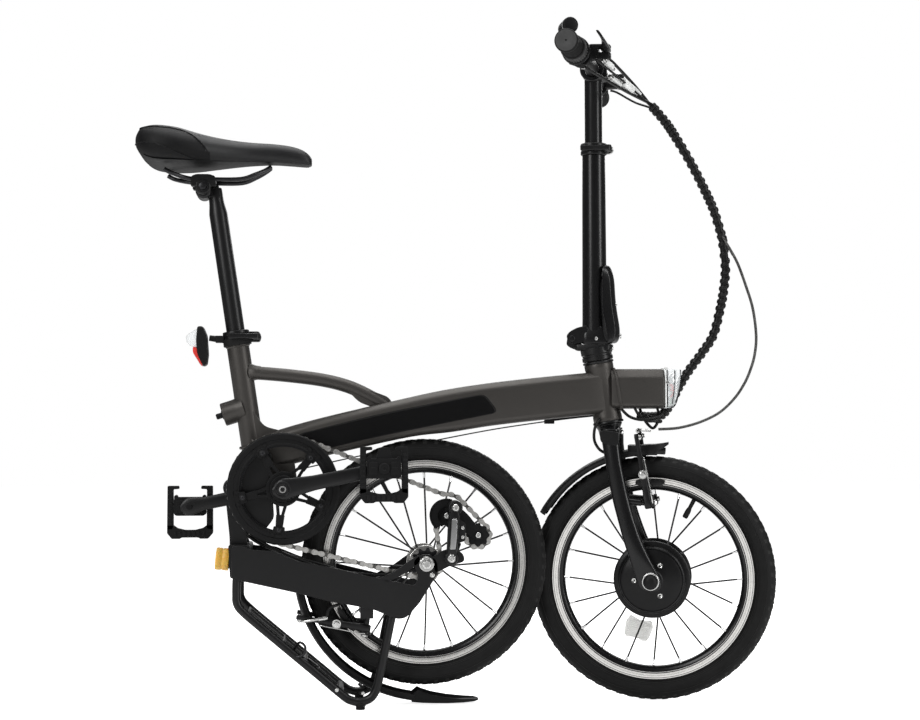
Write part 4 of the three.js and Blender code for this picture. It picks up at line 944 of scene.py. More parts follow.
def stop_boss():
    """The turned boss that the rubber block meets when the bicycle is open, and its stud."""
    boss = Shape()
    step = [(0, -34), (21, -34), (19, -26), (18.2, -20), (18.2, -1.2), (17.2, 0), (0, 0)]
    boss.turned(step, BOSS_FACE, BOSS_OUT, 48)
    make("stop_boss", boss, GUNMETAL, "main_frame", standing, bevel=0.5)
    stud = Shape().turned([(0, -1), (6.6, -1), (6.6, 1.5), (4.5, 2), (4.5, 9.6), (3.4, 11), (0, 11)],
                          BOSS_FACE, BOSS_OUT, 32)
    make("stop_stud", stud, BLACK_PLASTIC, "main_frame", standing)


def battery():
    body = Shape().rings([beam_ring((a + 3, b - 8, c - 3, d + 8, e - 6)) for a, b, c, d, e in BEAM[2:6]])
    make("battery_body", body, BLACK_PLASTIC, "main_frame", standing, "battery_pack")


def panel():
    """The dark side cover let into the beam, with a shadow gap round it: a dark strip behind the cover's
    edge that is painted shade.
    """
    radii = [16, 60, 10, 12, 60, 16]
    # a dark plate a little larger than the cover, painted shade for the gap round it
    gap = Shape().plate(rounded(PANEL, radii, 8), -27.5, -24)
    make("panel_gap_painted_shade", gap, RUBBER, "main_frame", standing)
    middle = np.mean(PANEL, axis=0)
    inner = [tuple(np.array(p) + (middle - p) / np.linalg.norm(middle - p) * 2.2) for p in PANEL]
    cover = Shape().plate(rounded(inner, radii, 10), -28.3, -25)
    make("side_cover", cover, PANEL_BLACK, "main_frame", standing, "beam_panel", bevel=0.9)


def main_frame():
    beam_shell()
    frame_tubes()
    front_box()
    frame_welds()
    stop_boss()
    panel()
    battery()


def headset():
    cups = Shape()
    for side in (-1, 1):
        d = 46 * side
        cup = [(17, d), (23.6, d), (24.3, d + side * 1.2), (24.3, d + side * 3.4), (22.8, d + side * 4),
               (16.5, d + side * 4)]
        cups.turned([*cup, cup[0]], on_steer(0), STEER_AXIS, 48)
    make("headset_cups", cups, BLACK_PAINT, "main_frame", standing, "headset", bevel=0.3)


def bottom_bracket():
    shell = Shape()
    for side in (-1, 1):
        cup = [(10, 34.2), (19, 34.2), (19, 37.4), (16.5, 38), (10, 38)]
        shell.turned([*cup, cup[0]], CRANK, ACROSS * side, 32)
    make("bracket_cups", shell, STEEL, "main_frame", standing, "bottom_bracket", bevel=0.3)


def fold_pin():
    pin = Shape().rod(FOLD_PIVOT - ACROSS * 37, FOLD_PIVOT + ACROSS * 37, 8, sides=32)
    for side in (-1, 1):
        pin.turned([(0, 0), (12, 0), (12, 2.6), (10.5, 3.8), (5.4, 3.8), (4.4, 1.8), (0, 1.8)],
                   FOLD_PIVOT + ACROSS * 38 * side, ACROSS * side, 32)
    make("fold_pin", pin, DARK_STEEL, "main_frame", standing, "pivot_pin", bevel=0.3)


def slab(shape, outline, x0, x1):
    """An outline of (Y, Z) with thickness in X."""
    return shape.rings([[(x0, y, z) for y, z in outline], [(x1, y, z) for y, z in outline]])


def lamp_shell():
    """The lamp's back, its sloping clear cover and the bright edges of the cover."""
    back = Shape()
    outline = rounded([(-26, 459), (26, 459), (26, 507), (17, 522), (-17, 522), (-26, 507)], 5, 4)
    slab(back, outline, 331.2, 334)
    make("lamp_back", back, MILKY, "main_frame", standing, "headlight_housing", bevel=0.6)
    lens = Shape()
    rings = []
    for x, low, high, half in ((334.2, 459.5, 522, 25.5), (339, 459.5, 522, 25.5), (345, 462, 522, 25),
                               (350, 474, 521.5, 24), (354.4, 492, 521, 23), (357, 508, 520, 21)):
        section = [(-half, low), (half, low), (half, high), (-half, high)]
        rings.append([(x, y, z) for y, z in rounded(section, 5, 4)])
    lens.rings(rings)
    trim = Shape()
    for side in (-1, 1):
        trim.tube([(334.4, side * 25.6, 461), (334.4, side * 25.6, 520)], 0.9, 8)
        trim.tube([(340, side * 25.6, 460.5), (346, side * 25.2, 463), (351, side * 24.2, 475),
                   (355, side * 23, 493), (357, side * 21, 508), (356.6, side * 21.4, 520)], 0.8, 8)
        trim.tube([(342, side * 25.4, 466), (345.6, side * 25, 490), (346.4, side * 25, 519)], 0.6, 8)
    make("lamp_trim", trim, DARK_STEEL, "main_frame", standing)
    make("lamp_cover", lens, CLEAR_LENS, "main_frame", standing, "headlight_lens")


def lamp_inside():
    """Reflector, bulb, board and wires, seen through the cover."""
    bowl = Shape().turned([(3, 0), (8, 1.5), (14, 6), (16.4, 10), (17.2, 10), (15, 5), (9, 0.4), (3, -0.6),
                           (3, 0)], [338.5, 0, 499], [1, 0, 0], 36)
    make("lamp_bowl", bowl, CHROME, "main_frame", standing)
    lamp = Shape().turned([(0, 0), (3, 0), (3, 3), (2, 5), (0, 5.6)], [338.4, 0, 499], [1, 0, 0], 20)
    lamp.box((338.4, 340), (-20, 20), (464, 478))
    make("lamp_core", lamp, MILKY, "main_frame", standing)
    board = Shape().box((340, 341.6), (-17, 17), (465.5, 475))
    make("lamp_board", board, GREEN, "main_frame", standing)
    wire = Shape().tube([(341, -12, 476), (346, -14, 484), (344, -17, 492), (340, -16, 497)], 0.9, 8)
    wire.tube([(341, -6, 476), (347, -8, 481), (345, -12, 486), (341, -18, 489)], 0.9, 8)
    make("lamp_wire", wire, RED_LENS, "main_frame", standing)
    screws = Shape()
    for y in (-17, 17):
        screws.bolt([334.6, y * 0.9, 521.8], [0, 0, 1], 2.6, 2)
    screws.bolt([334.8, -26, 500], [0, -1, 0], 2.4, 1.4)
    make("lamp_screws", screws, STEEL, "main_frame", standing)


def seat_clamp():
    collar = Shape()
    band = [(15, 0.4), (20, 0.4), (20.6, 1.4), (20.6, 5.6), (19.8, 6.2), (19.8, 11.2), (20.6, 11.8),
            (20.6, 16.2), (20, 17), (15, 17)]
    collar.turned([*band, band[0]], on_seat(0), SEAT_AXIS, 56)
    for y in (-9, 1.4):
        collar.plate(rounded([(-325, 565), (-306, 565), (-304, 569), (-304, 577), (-307, 581), (-326, 581)],
                             2.4), y, y + 7.6)
    make("seat_clamp_band", collar, BLACK_PAINT, "main_frame", standing, "seat_clamp",
         bevel=0.7)
    pin = Shape().rod([-311, 9, 573], [-311, 14, 573], 3, sides=20)
    pin.turned([(0, 0), (6.8, 0), (7.4, 1), (7.4, 5), (6, 6.6), (2.6, 6.6), (2.6, 5), (0, 5)],
               [-311, 9.4, 573], ACROSS, 28)
    make("seat_clamp_nut", pin, STEEL, "main_frame", standing, bevel=0.3)
    clamp_lever("seat", [-311, 573], "seat_lever", standing, "seat_clamp_lever")


def clamp_lever(name, at, body, place, node):
    """A cam lever whose blade lies along the collar and widens to a thumb pad."""
    x, z = at
    lever = Shape()
    lever.turned([(0, 0), (5.4, 0), (6.2, 1), (6.2, 9.2), (5.4, 10.2), (0, 10.2)], [x, -16, z - 5.1],
                 [0, 0, 1], 28)
    rings = []
    for t, half, y, thick in ((0, 4.4, -23.4, 3.2), (0.2, 4.2, -24.2, 2.6), (0.5, 3.7, -24.6, 2.2),
                              (0.8, 4.4, -25.4, 2.1), (0.95, 4.5, -26.2, 1.9), (1, 3.4, -26.8, 1.2)):
        cx = x + 3 - 45 * t
        rings.append([(cx, y + thick * b, z + half * a) for a, b in rounded(SQUARE, 0.6, 3)])
    lever.rings(rings)
    make(name + "_quick_lever", lever, BLACK_PAINT, body, place, node, bevel=0.3)


def pillow(outline, half):
    """A block of the outline in X and Z whose side edges are eased."""
    soft = np.array(rounded(outline, 3.5, 4))
    middle = soft.mean(axis=0)
    rings = []
    for y, grow in ((-half, 0.88), (-half + 2.5, 0.98), (-half + 6, 1), (half - 6, 1), (half - 2.5, 0.98),
                    (half, 0.88)):
        rings.append([(x, y, z) for x, z in middle + (soft - middle) * grow])
    return Shape().rings(rings)


def tail_light():
    shell = pillow([(-402, 589), (-393, 589), (-387, 575), (-385, 545), (-387, 529), (-393, 526),
                    (-402, 545), (-404, 568)], 17)
    make("tail_shell", shell, BLACK_PLASTIC, "main_frame", standing, "tail_light",
         bevel=0.4)
    upper = pillow([(-402, 586), (-420, 574), (-418, 561), (-404, 556), (-401, 566)], 14)
    make("tail_lens_upper", upper, CLEAR_LENS, "main_frame", standing)
    lower = pillow([(-402, 556), (-409, 558), (-409, 548), (-396, 527), (-391, 527), (-400, 545)], 14)
    make("tail_lens_lower", lower, RED_LENS, "main_frame", standing)
    stem = Shape().rod([-384, 0, 571], [-362, 0, 568], 4.6, 5.2, 24)
    stem.box((-374, -361), (-6.5, 6.5), (563.5, 574.5))
    make("tail_stem", stem, BLACK_PLASTIC, "main_frame", standing, bevel=0.5)
    strap = Shape()
    band = [(20.9, -14), (21.9, -13.4), (21.9, -3.6), (20.9, -3), (18.8, -3), (18.8, -14)]
    strap.turned([*band, band[0]], on_seat(8), SEAT_AXIS, 48)
    make("tail_strap", strap, RUBBER, "main_frame", standing)


# ---- seat -----------------------------------------------------------------------------------
def seatpost():
    post = Shape()
    shaft = [(12, -95), (14, -95), (14.3, -93), (14.3, 203), (13.6, 208), (12, 218), (11.5, 224),
             (11.5, 240), (10.6, 243), (0, 243)]
    post.turned([(0, -95), *shaft], on_seat(0), SEAT_AXIS, 56)
    make("seatpost_tube", post, BLACK_PAINT, "seat", standing, "seatpost", bevel=0.3)
    clamp = Shape()
    clamp.turned([(0, -20), (9, -20), (12, -17.5), (12, 17.5), (9, 20), (0, 20)], [-393, 0, 800], ACROSS,
                 40)
    for side in (-1, 1):
        clamp.turned([(0, 0), (12.4, 0), (13, 1.4), (13, 5), (11, 7.4), (4.6, 7.8), (4.6, 6), (0, 6)],
                     [-393, side * 20, 806], ACROSS * side, 28)
        clamp.plate(rounded([(-412, 806), (-372, 806), (-374, 822), (-383, 825), (-403, 825), (-411, 822)],
                            3), *sorted((side * 15, side * 27)))
    clamp.plate(rounded([(-402, 792), (-366, 790), (-370, 812), (-404, 812)], 4), -11, 11)
    make("saddle_clamp", clamp, BLACK_PAINT, "seat", standing, bevel=0.7)
    bolts = Shape()
    for side in (-1, 1):
        bolts.nut([-393, side * 27.6, 806], [0, side, 0], 6, 5)
    make("saddle_clamp_bolts", bolts, DARK_STEEL, "seat", standing, bevel=0.2)
    rails = Shape()
    for side in (-1, 1):
        rails.tube([(-452, side * 38, 831), (-440, side * 35, 825), (-414, side * 22, 818.5),
                    (-380, side * 22, 817.3), (-335, side * 22, 818),
                    (-312, side * 17.6, 826), (-296, side * 10, 834), (-288, side * 7, 840)], 3.5, 16)
    make("rails", rails, DARK_STEEL, "seat", standing, "saddle_rails")


SADDLE = [(-496, 40, 884, 866), (-488, 66, 896, 853), (-474, 79, 901, 843), (-456, 85.5, 901.5, 839),
          (-430, 85.5, 898, 838), (-405, 77, 891, 838.5),
          (-380, 62, 885.5, 840), (-350, 45, 881, 842), (-318, 32, 878, 844), (-285, 25, 876.6, 845),
          (-258, 22, 873.4, 843.5), (-240, 19, 868, 842),
          (-229, 14.5, 860.5, 841.4), (-224, 8, 853.5, 843.5)]


def saddle_point(station, turn):
    """A point round the saddle's section. 0 is the rider's left edge, 90 the middle of the top."""
    x, half, top, low = station
    c, s = math.cos(math.radians(turn)), math.sin(math.radians(turn))
    edge = low + 0.36 * (top - low)
    rise = top - edge if s >= 0 else edge - low
    dip = -2.6 * math.exp(-((turn - 90) / 16) ** 2) * min(1.0, half / 60) if 40 < turn < 140 else 0
    y = half * eased(c, 0.74 if s >= 0 else 0.34) * (1 if s >= 0 else 1 - 0.05 * abs(s))
    return np.array([x, y, edge + rise * eased(s, 0.86 if s >= 0 else 0.95) + dip])


def saddle():
    stations = spline(SADDLE, 4)
    rings = [[saddle_point(s, 360 * i / 48) for i in range(48)] for s in stations]
    skin = make("saddle_top", Shape().rings(rings), SADDLE_SKIN, "seat", standing, "saddle",
                subdivide=1)
    skin.data.materials.append(SADDLE_SIDE)
    for face in skin.data.polygons:
        x, _, z = face.center / MM - Vector(SHIFT)
        if z < seam_height(x):
            face.material_index = 1
    seams = Shape()
    for side in (1, -1):
        for height, r in ((seam_height, 1.1), (low_seam, 0.9)):
            line = []
            for x, half, top, low in stations:
                z = height(x)
                if z is None or not low + 0.5 < z < top - 1.5 or half < 12:
                    continue
                line.append(on_saddle((x, half, top, low), z, side))
            seams.tube(line, r, 8, 3)
    make("saddle_seams", seams, SADDLE_SIDE, "seat", standing)
    turns = [2 * math.pi * i / 24 for i in range(24)]
    rings = []
    for x, half, _, low in stations[6:-4]:
        rings.append([(x, half * 0.8 * eased(math.cos(a), 0.8), low + 2.5 + 3.2 * math.sin(a))
                      for a in turns])
    base = Shape().rings(rings)
    make("saddle_base", base, BLACK_PLASTIC, "seat", standing)


def seam_height(x):
    """The seam that falls from the back of the top to the middle of the underside."""
    return float(np.interp(x, [-500, -475, -440, -418, -404, -394, -386, -380, -376, -375],
                           [890, 893, 890, 885, 877, 868, 858, 848, 841, 800]))


def low_seam(x):
    return float(np.interp(x, [-495, -491, -462, -437, -412, -379],
                           [868, 867.5, 863, 853, 844, 838])) if x < -376 else None


def on_saddle(station, z, side):
    best = min((abs(saddle_point(station, t)[2] - z), t) for t in np.linspace(-85, 85, 171))
    point = saddle_point(station, best[1])
    return np.array([point[0], side * (point[1] + 0.2), point[2]])


# ---- fork and front brake -------------------------------------------------------------------
BLADE = [(249, 38, 428), (251, 41, 408), (257, 45, 368), (268, 49, 315), (283, 55, 263), (297, 58.6, 226),
         (309, 57.4, 197), (314, 57.2, 178)]


def fork():
    blades = Shape()
    for side in (-1, 1):
        rings = []
        for k, (x, y, z) in enumerate(spline(BLADE, 5)):
            t = k / 35
            long = np.interp(t, [0, 0.25, 0.5, 0.71, 0.86, 0.95, 1], [14.6, 12.8, 13.4, 16, 19, 16.5, 9])
            thick = np.interp(t, [0, 0.6, 0.8, 1], [8.2, 7, 4.4, 3.6])
            ring = []
            for i in range(28):
                a = 2 * math.pi * i / 28
                nose = 1 + 0.12 * math.cos(a)
                ring.append((x + long * math.cos(a), side * (y + thick * nose * math.sin(a)), z))
            rings.append(ring)
        blades.rings(rings)
    shoulder = []
    for y in np.linspace(-50, 50, 21):
        drop = 7.5 * (abs(y) / 50) ** 2.2
        loop = rounded([(236, 414 - drop), (264, 409 - drop), (264, 431 - drop), (234, 434 - drop)], 7, 4)
        shoulder.append([(x, y, z) for x, z in loop])
    blades.rings(shoulder)
    crown = [(0, -96), (8, -94), (13.4, -84), (16.4, -72), (18, -58), (21.4, -52), (21.4, -50.4),
             (0, -50.4)]
    blades.turned(crown, on_steer(0), STEER_AXIS, 48)
    blades.rod(on_steer(-52), on_steer(58), 14, sides=32)
    for side in (-1, 1):
        blades.turned([(0, 0), (5.4, 0), (5.4, 26), (4.2, 27), (4.2, 43), (0, 43)], [272, side * 42, 316],
                      [43, 0, -4], 24)
    make("fork_body", blades, GLOSS_BLACK, "fork", steered, "fork", bevel=0.6)
    bolts = Shape()
    bolts.bolt([264.5, 0, 421], [1, 0, 0], 5.5, 3.4)
    bolts.bolt(on_steer(-68) + np.array([14, 0, 2]), -STEER_AXIS, 3, 2)
    make("crown_bolt", bolts, STEEL, "fork", steered, bevel=0.3)


def brake_arm(side, foot, way, out, length, name, body, place, node):
    """A cantilever arm from its boss to its cable end, with the post for its pad, its spring and bolts.
    way runs along the arm, out points along the boss."""
    foot, way, out = (np.asarray(v, float) for v in (foot, way, out))
    across = ACROSS * side
    arm = Shape()
    rings = []
    for t, wide, thick in ((-0.07, 5.2, 4.6), (-0.05, 7.6, 5.6), (0, 8.4, 6), (0.07, 7.4, 6),
                           (0.16, 5.2, 5.2), (0.3, 4.8, 4.8), (0.42, 6, 5.2),
                           (0.55, 4.4, 4.4), (0.8, 3.4, 3.6), (0.96, 4, 3.6), (1.0, 3, 3)):
        at = foot + way * (length * t)
        rings.append([at + across * (wide * a) + out * (thick * b) for a, b in rounded(SQUARE, 0.55, 3)])
    arm.rings(rings)
    arm.turned([(0, 5), (8.6, 5), (9, 6.5), (9, 9), (7.6, 10.4), (0, 10.4)], foot, out, 32)
    make(name + "_arm", arm, BLACK_PAINT, body, place, node, bevel=0.4)
    hardware = Shape()
    hardware.bolt(foot + out * 10.2, out, 5.4, 3.6)
    hold = foot + way * (length * 0.42)
    hardware.turned([(3, 5), (6.4, 5), (6.4, 6.4), (5.4, 7.6), (3, 7.6), (3, 5)], hold, out, 28)
    hardware.rod(hold - across * 9, hold + across * 13, 3, sides=20)
    hardware.nut(hold + across * 8.5, across, 5.2, 4.4)
    spring = [foot + across * 9.5 + out * 8, foot + across * 12 + way * 14 + out * 8,
              foot + across * 9.5 + way * (length * 0.3) + out * 7.4,
              foot + across * 7.8 + way * (length * 0.6) + out * 6.4,
              foot + across * 4 + way * (length * 0.66) + out * 5.6]
    hardware.tube(spring, 0.95, 8)
    tip = foot + way * (length * 0.94)
    hardware.bolt(tip + out * 3.6, out, 4.4, 3.4)
    hardware.turned([(2.2, 0), (4.8, 0), (4.8, 1.2), (2.2, 1.2), (2.2, 0)], tip + out * 3.2, out, 24)
    make(name + "_brake_bolts", hardware, STEEL, body, place, bevel=0.2)


def brake_pad(name, side, spine, out, body, place):
    """A shoe that follows the rim: a holder, and the rubber with its grooves."""
    holder, rubber = Shape(), Shape()
    spine = np.asarray(spine, float)
    for shape, y0, y1, wide, cuts in ((holder, 17.6, 22.4, 4.6, 0), (rubber, 12.6, 17.8, 5.0, 3)):
        rings = []
        for k, point in enumerate(spine):
            t = k / (len(spine) - 1)
            taper = 0.55 + 0.45 * min(1, 6 * t, 6 * (1 - t))
            dent = 0.75 if cuts and abs((t * (cuts + 1)) % 1) < 0.13 and 0.1 < t < 0.9 else 1
            half = wide * taper * dent
            rings.append([point + out * (half * a) + ACROSS * (side * (y0 + (y1 - y0) * (b + 1) / 2))
                          for a, b in rounded(SQUARE, 0.4, 2)])
        shape.rings(rings)
    make(name + "_holder", holder, BLACK_PAINT, body, place, bevel=0.2)
    make(name + "_pad", rubber, RUBBER, body, place, bevel=0.2)


def front_brake():
    for side, name in ((1, "left"), (-1, "right")):
        foot = [308.6, side * 42, 312]
        spine = [(x, 0, 343.4 - 0.0011 * (x - 313) ** 2) for x in np.linspace(288, 333, 13)]
        brake_arm(side, foot, [-0.163, 0, 0.987], [0.987, 0, 0.163], 110, "front_" + name,
                  "front_arm_" + name, steered, "front_brake_arm_" + name)
        brake_pad("front_" + name, side, spine, UP, "front_arm_" + name, steered)
    noodle = Shape()
    noodle.tube([(294, -30, 427), (295, -12, 424), (294, 8, 421), (293, 30, 420)], 1.1, 8)
    noodle.tube([(293, -30, 426), (294, -41, 426), (301, -48, 427), (314, -50, 426)], 2.3, 12, 6)
    noodle.rod([293, -40, 425], [293.5, -27, 425.5], 3.2, 2.2, 16)
    make("front_noodle", noodle, STEEL, "fork", steered)
    boot = Shape()
    rings = []
    for k in range(21):
        t = k / 20
        at = np.array([293.6 - 0.6 * t, -27 + 34 * t, 425 - 3.4 * t])
        r = 3.2 + 0.9 * math.cos(14 * math.pi * t) - 1.2 * t
        rings.append(circle(at, [0, 1, 0], r, 14))
    boot.rings(rings)
    make("front_boot", boot, RUBBER, "fork", steered)


def fender_shell(name, centre, start, end, radius, growth, half, body, place, node, lip):
    """A thin moulded guard with rolled edges, and a lip where it starts."""
    shell = Shape()
    steps = 44
    rings = []
    for k in range(steps + 1):
        t = k / steps
        angle = start + (end - start) * t
        r = radius + growth * t
        wide = half * (1 - 0.5 * max(0, 1 - t * 9) ** 2 * lip) * (1 - 0.4 * max(0, (t - 0.93) / 0.07) ** 2)
        section = []
        for i in range(17):
            a = math.pi * i / 16
            section.append((r - 10.5 + 10.5 * math.sin(a) ** 0.62, wide * math.cos(a)))
        inner = [(q - 2.0 if 0 < n < 16 else q, y * 0.93) for n, (q, y) in enumerate(section)]
        loop = section + inner[::-1]
        rings.append([polar(centre, q, angle, y) for q, y in loop])
    shell.rings(rings)
    for side in (-1, 1):
        edge = [polar(centre, radius + growth * k / 24 - 10.6,
                      start + (end - start) * (0.05 + 0.9 * k / 24), side * half * 0.965)
                for k in range(25)]
        shell.tube(edge, 1.5, 8, 2)
    make(name, shell, BLACK_PLASTIC, body, place, node)


def front_fender():
    fender_shell("front_fender_shell", FRONT_AXLE, 84, 150, 206, 0, 24, "fork", steered, "front_fender",
                 1.2)
    beak = Shape()
    rings = []
    for x, half, low, high in ((276, 22, 386, 402), (292, 23.6, 384, 401.6), (306, 23.6, 386, 402.6),
                               (318, 22, 389.4, 403), (330, 16, 396, 404.6), (339, 6, 402.6, 406.4)):
        section = [(-half, low), (-half + 1.6, low), (-half * 0.8, high - 2), (half * 0.8, high - 2),
                   (half - 1.6, low), (half, low), (half - 1, high), (1 - half, high)]
        rings.append([(x, y, z) for y, z in rounded(section, 1.2, 2)])
    beak.rings(rings)
    make("front_fender_beak", beak, BLACK_PLASTIC, "fork", steered, bevel=0.3)
    bracket = Shape().box((263.8, 267.6), (-8, 8), (391, 418))
    bracket.plate(rounded([(252, 388), (269, 388), (272, 393), (252, 394)], 1), -9, 9)
    make("front_fender_bracket", bracket, BLACK_PAINT, "fork", steered, bevel=0.6)
    bolt = Shape()
    for y in (-5, 5):
        bolt.bolt([258, y, 394], UP, 2.8, 2)
    make("front_fender_bolts", bolt, STEEL, "fork", steered)


# ---- handlepost -----------------------------------------------------------------------------
def post_base():
    base = Shape()
    foot = [(14.3, 50.6), (23.2, 50.6), (24.4, 52), (24.4, 57), (23.4, 58), (23.4, 60.5), (24.8, 62),
            (25, 71), (23.6, 72), (14.3, 72)]
    base.turned([*foot, foot[0]], on_steer(0), STEER_AXIS, 56)
    deck = []
    for z, grow in ((551, 0.9), (552.5, 0.98), (559.5, 1), (561, 0.97)):
        loop = rounded([(193, -21), (247, -21), (252, -14), (252, 14), (247, 21), (193, 21)], 7, 4)
        deck.append([(222 + (x - 222) * grow, y * grow, z) for x, y in loop])
    base.rings(deck)
    ear = [(179, 561), (185, 556), (198, 551), (204, 560), (197, 568), (190, 574), (181, 573)]
    base.plate(rounded(ear, 4, 4), -10, 10)
    make("post_base_body", base, BLACK_PAINT, "fork", steered, "handlepost_base", bevel=0.7)
    bits = Shape()
    bits.bolt([250.8, 0, 555], [1, 0, 0], 3.4, 2)
    for side in (-1, 1):
        bits.bolt([228, side * 21, 570], [0, side, 0], 3, 2)
    make("post_hinge_pin", bits, STEEL, "fork", steered, bevel=0.2)


def post_body():
    """The lower post with its foot and the two knuckles of its hinge."""
    post = Shape()
    sole = []
    for z, x0, x1, half in ((561.6, 205, 249, 20), (563.2, 203.8, 250, 21), (575, 203.8, 249.4, 21),
                            (581, 204.4, 247, 20), (587, 205.6, 243, 18.4), (590, 207, 240, 16.6)):
        sole.append([(x, y, z) for x, y in rounded([(x0, -half), (x1, -half), (x1, half), (x0, half)], 9,
                                                   5)])
    post.rings(sole)
    for side in (-1, 1):
        knuckle = [(180, 575), (183, 566), (190, 562), (200, 563), (214, 568), (214, 591), (198, 588),
                   (186, 582)]
        post.plate(rounded(knuckle, 4, 4), *sorted((side * 10.6, side * 20)))
        dome = [(0, 0), (5.2, 0), (4.8, 1.2), (0, 1.8)]
        post.turned(dome, [189, side * 20, 570], ACROSS * side, 28)
    shaft = [(14.3, 582), (19.8, 582), (19.4, 600), (18.2, 858), (18.2, 861), (14.3, 861)]
    post.turned([*shaft, shaft[0]], [POST_X, 0, 0], UP, 64)
    post.plate(rounded([(248, 565), (254.5, 566.5), (254.5, 580), (248, 581)], 1.4), -8, 8)
    make("post_body", post, GLOSS_BLACK, "handlepost", steered, "handlepost", bevel=0.6)


def post_clamp():
    band = Shape()
    collar = [(14.3, 861.6), (19.8, 861.6), (20.6, 862.6), (20.6, 867.4), (19.9, 868.2), (19.9, 873),
              (20.6, 873.8), (20.6, 879), (19.8, 880), (14.3, 880)]
    band.turned([*collar, collar[0]], [POST_X, 0, 0], UP, 56)
    for y in (-9.4, 1.8):
        band.plate(rounded([(POST_X + 13, 863.5), (POST_X + 21, 863.5), (POST_X + 23, 866),
                            (POST_X + 23, 876.5), (POST_X + 20, 879), (POST_X + 13, 879)], 2),
                   y, y + 7.6)
    make("post_clamp_band", band, BLACK_PAINT, "handlepost", steered, bevel=0.6)
    nut = Shape().turned([(0, 0), (6.6, 0), (7.2, 1), (7.2, 4.6), (5.8, 6), (2.4, 6), (2.4, 4.6), (0, 4.6)],
                         [247, 9.4, 871], ACROSS, 28)
    make("post_clamp_nut", nut, STEEL, "handlepost", steered, bevel=0.3)
    clamp_lever("post", [247, 871], "height_lever", steered, "height_clamp_lever")


def post_latch():
    """The lever that locks the hinge, lying along the front of the post."""
    latch = Shape()
    rings = []
    for z, near, inner, clear_y, outer in ((562, 248, 251, 22, 256), (566, 243, 251, 22, 260.6),
                                           (573, 240, 251, 22, 263), (585, 238, 250.4, 22, 263.4),
                                           (600, 237, 246.6, 21.4, 261), (612, 236, 243.4, 20.4, 259),
                                           (630, 235, 243, 20, 256.6), (650, 234.4, 243, 19.8, 255.6),
                                           (664, 236, 243, 19.6, 255), (676, 240, 243.2, 19, 252),
                                           (687, 241.5, 243.6, 16, 248)):
        section = [(near, -clear_y), (inner - 6, -clear_y), (inner, 7 - clear_y), (inner, 9),
                   (outer - 2, 9), (outer, 5),
                   (outer, -9), (outer - 5, -clear_y + 1), (inner - 5, -clear_y - 4), (near, -clear_y - 2)]
        rings.append([(x, y, z) for x, y in rounded(section, 0.9, 2)])
    latch.rings(rings)
    make("post_latch_lever", latch, GLOSS_BLACK, "post_latch", steered, "handlepost_latch",
         subdivide=1)
    screw = Shape().bolt([263.4, 0, 574], [1, 0, 0.02], 4.2, 2.2)
    screw.bolt([257.4, -2, 624], [1, 0, 0.1], 2.4, 2)
    screw.rod([258, -10.4, 571], [258, 10.4, 571], 3.4, sides=20)
    make("post_latch_screw", screw, STEEL, "post_latch", steered, bevel=0.2)


def upper_post():
    tube = Shape().turned([(0, 740), (13.4, 740), (13.9, 742), (13.9, 984), (14.4, 986), (0, 990)],
                          [POST_X, 0, 0], UP, 64)
    clamp = [(11.8, -24), (18, -24), (19, -22.8), (19, 22.8), (18, 24), (11.8, 24)]
    tube.turned([*clamp, clamp[0]], [POST_X, 0, BAR_Z], ACROSS, 48)
    tube.plate(rounded([(POST_X + 12, BAR_Z - 15), (POST_X + 24, BAR_Z - 12), (POST_X + 24, BAR_Z + 12),
                        (POST_X + 12, BAR_Z + 15)], 3), -23, 23)
    make("upper_post_tube", tube, GLOSS_BLACK, "handlebar", steered, "upper_post", bevel=0.5)
    bolts = Shape()
    for y in (-15, 15):
        for z in (-8, 8):
            bolts.bolt([POST_X + 24, y, BAR_Z + z], [1, 0, 0], 3.2, 2.4)
    bolts.turned([(0, 0), (7, 0), (7, 1), (5, 2.4), (0, 2.4)], [POST_X, 0, BAR_Z + 18.4], UP, 28)
    make("bar_clamp_bolts", bolts, STEEL, "handlebar", steered, bevel=0.2)


# ---- handlebar ------------------------------------------------------------------------------
def on_bar(y, up=0.0, ahead=0.0):
    return np.array([bar_x(y) + ahead, y, BAR_Z + up])


def bar_sleeve(shape, profile, y0, sides=48):
    """A profile of (radius, distance outwards) round the bar from y0."""
    side = 1 if y0 > 0 else -1
    axis = on_bar(y0 + side * 10) - on_bar(y0)
    return shape.turned([*profile, profile[0]], on_bar(y0), axis, sides)


def ribbed(start, end, low, high, ribs, inner=BAR_R + 0.2):
    """A sleeve's profile with ribs across it."""
    profile = [(inner, start), (low, start)]
    step = (end - start) / ribs
    for k in range(ribs):
        d = start + step * k
        profile += [(low, d + step * 0.1), (high, d + step * 0.35), (high, d + step * 0.75),
                    (low, d + step)]
    return profile + [(inner, end)]


def handlebar():
    bar = Shape().tube([on_bar(y) for y in np.linspace(-BAR_END, BAR_END, 41)], BAR_R, 36, 1, smooth=False)
    make("bar_tube", bar, BLACK_PAINT, "handlebar", steered, "handlebar")
    for side, name, length in ((1, "left", 120), (-1, "right", 59)):
        start = side * (275 - length)
        grip = Shape()
        bar_sleeve(grip, ribbed(0, 6, 17.2, 17.8, 1), start)
        bar_sleeve(grip, ribbed(6, length - 9, 15.6, 16.5, 17 if side > 0 else 8), start)
        body = [(11.3, length - 9), (16.8, length - 9), (17.4, length - 7.5), (17.4, length - 2),
                (16.4, length), (11.3, length)]
        bar_sleeve(grip, body, start)
        make("grip_sleeve_" + name, grip, RUBBER, "handlebar", steered, "grip_" + name)
        cap = Shape()
        disc = [(1.2, length - 0.4), (15.6, length - 0.4), (15.6, length + 0.2), (13.4, length + 0.7),
                (2.2, length + 0.7), (1.2, length)]
        bar_sleeve(cap, disc, start)
        make("grip_cap_" + name, cap, GRIP_GREY_AND_SHEEN, "handlebar", steered)


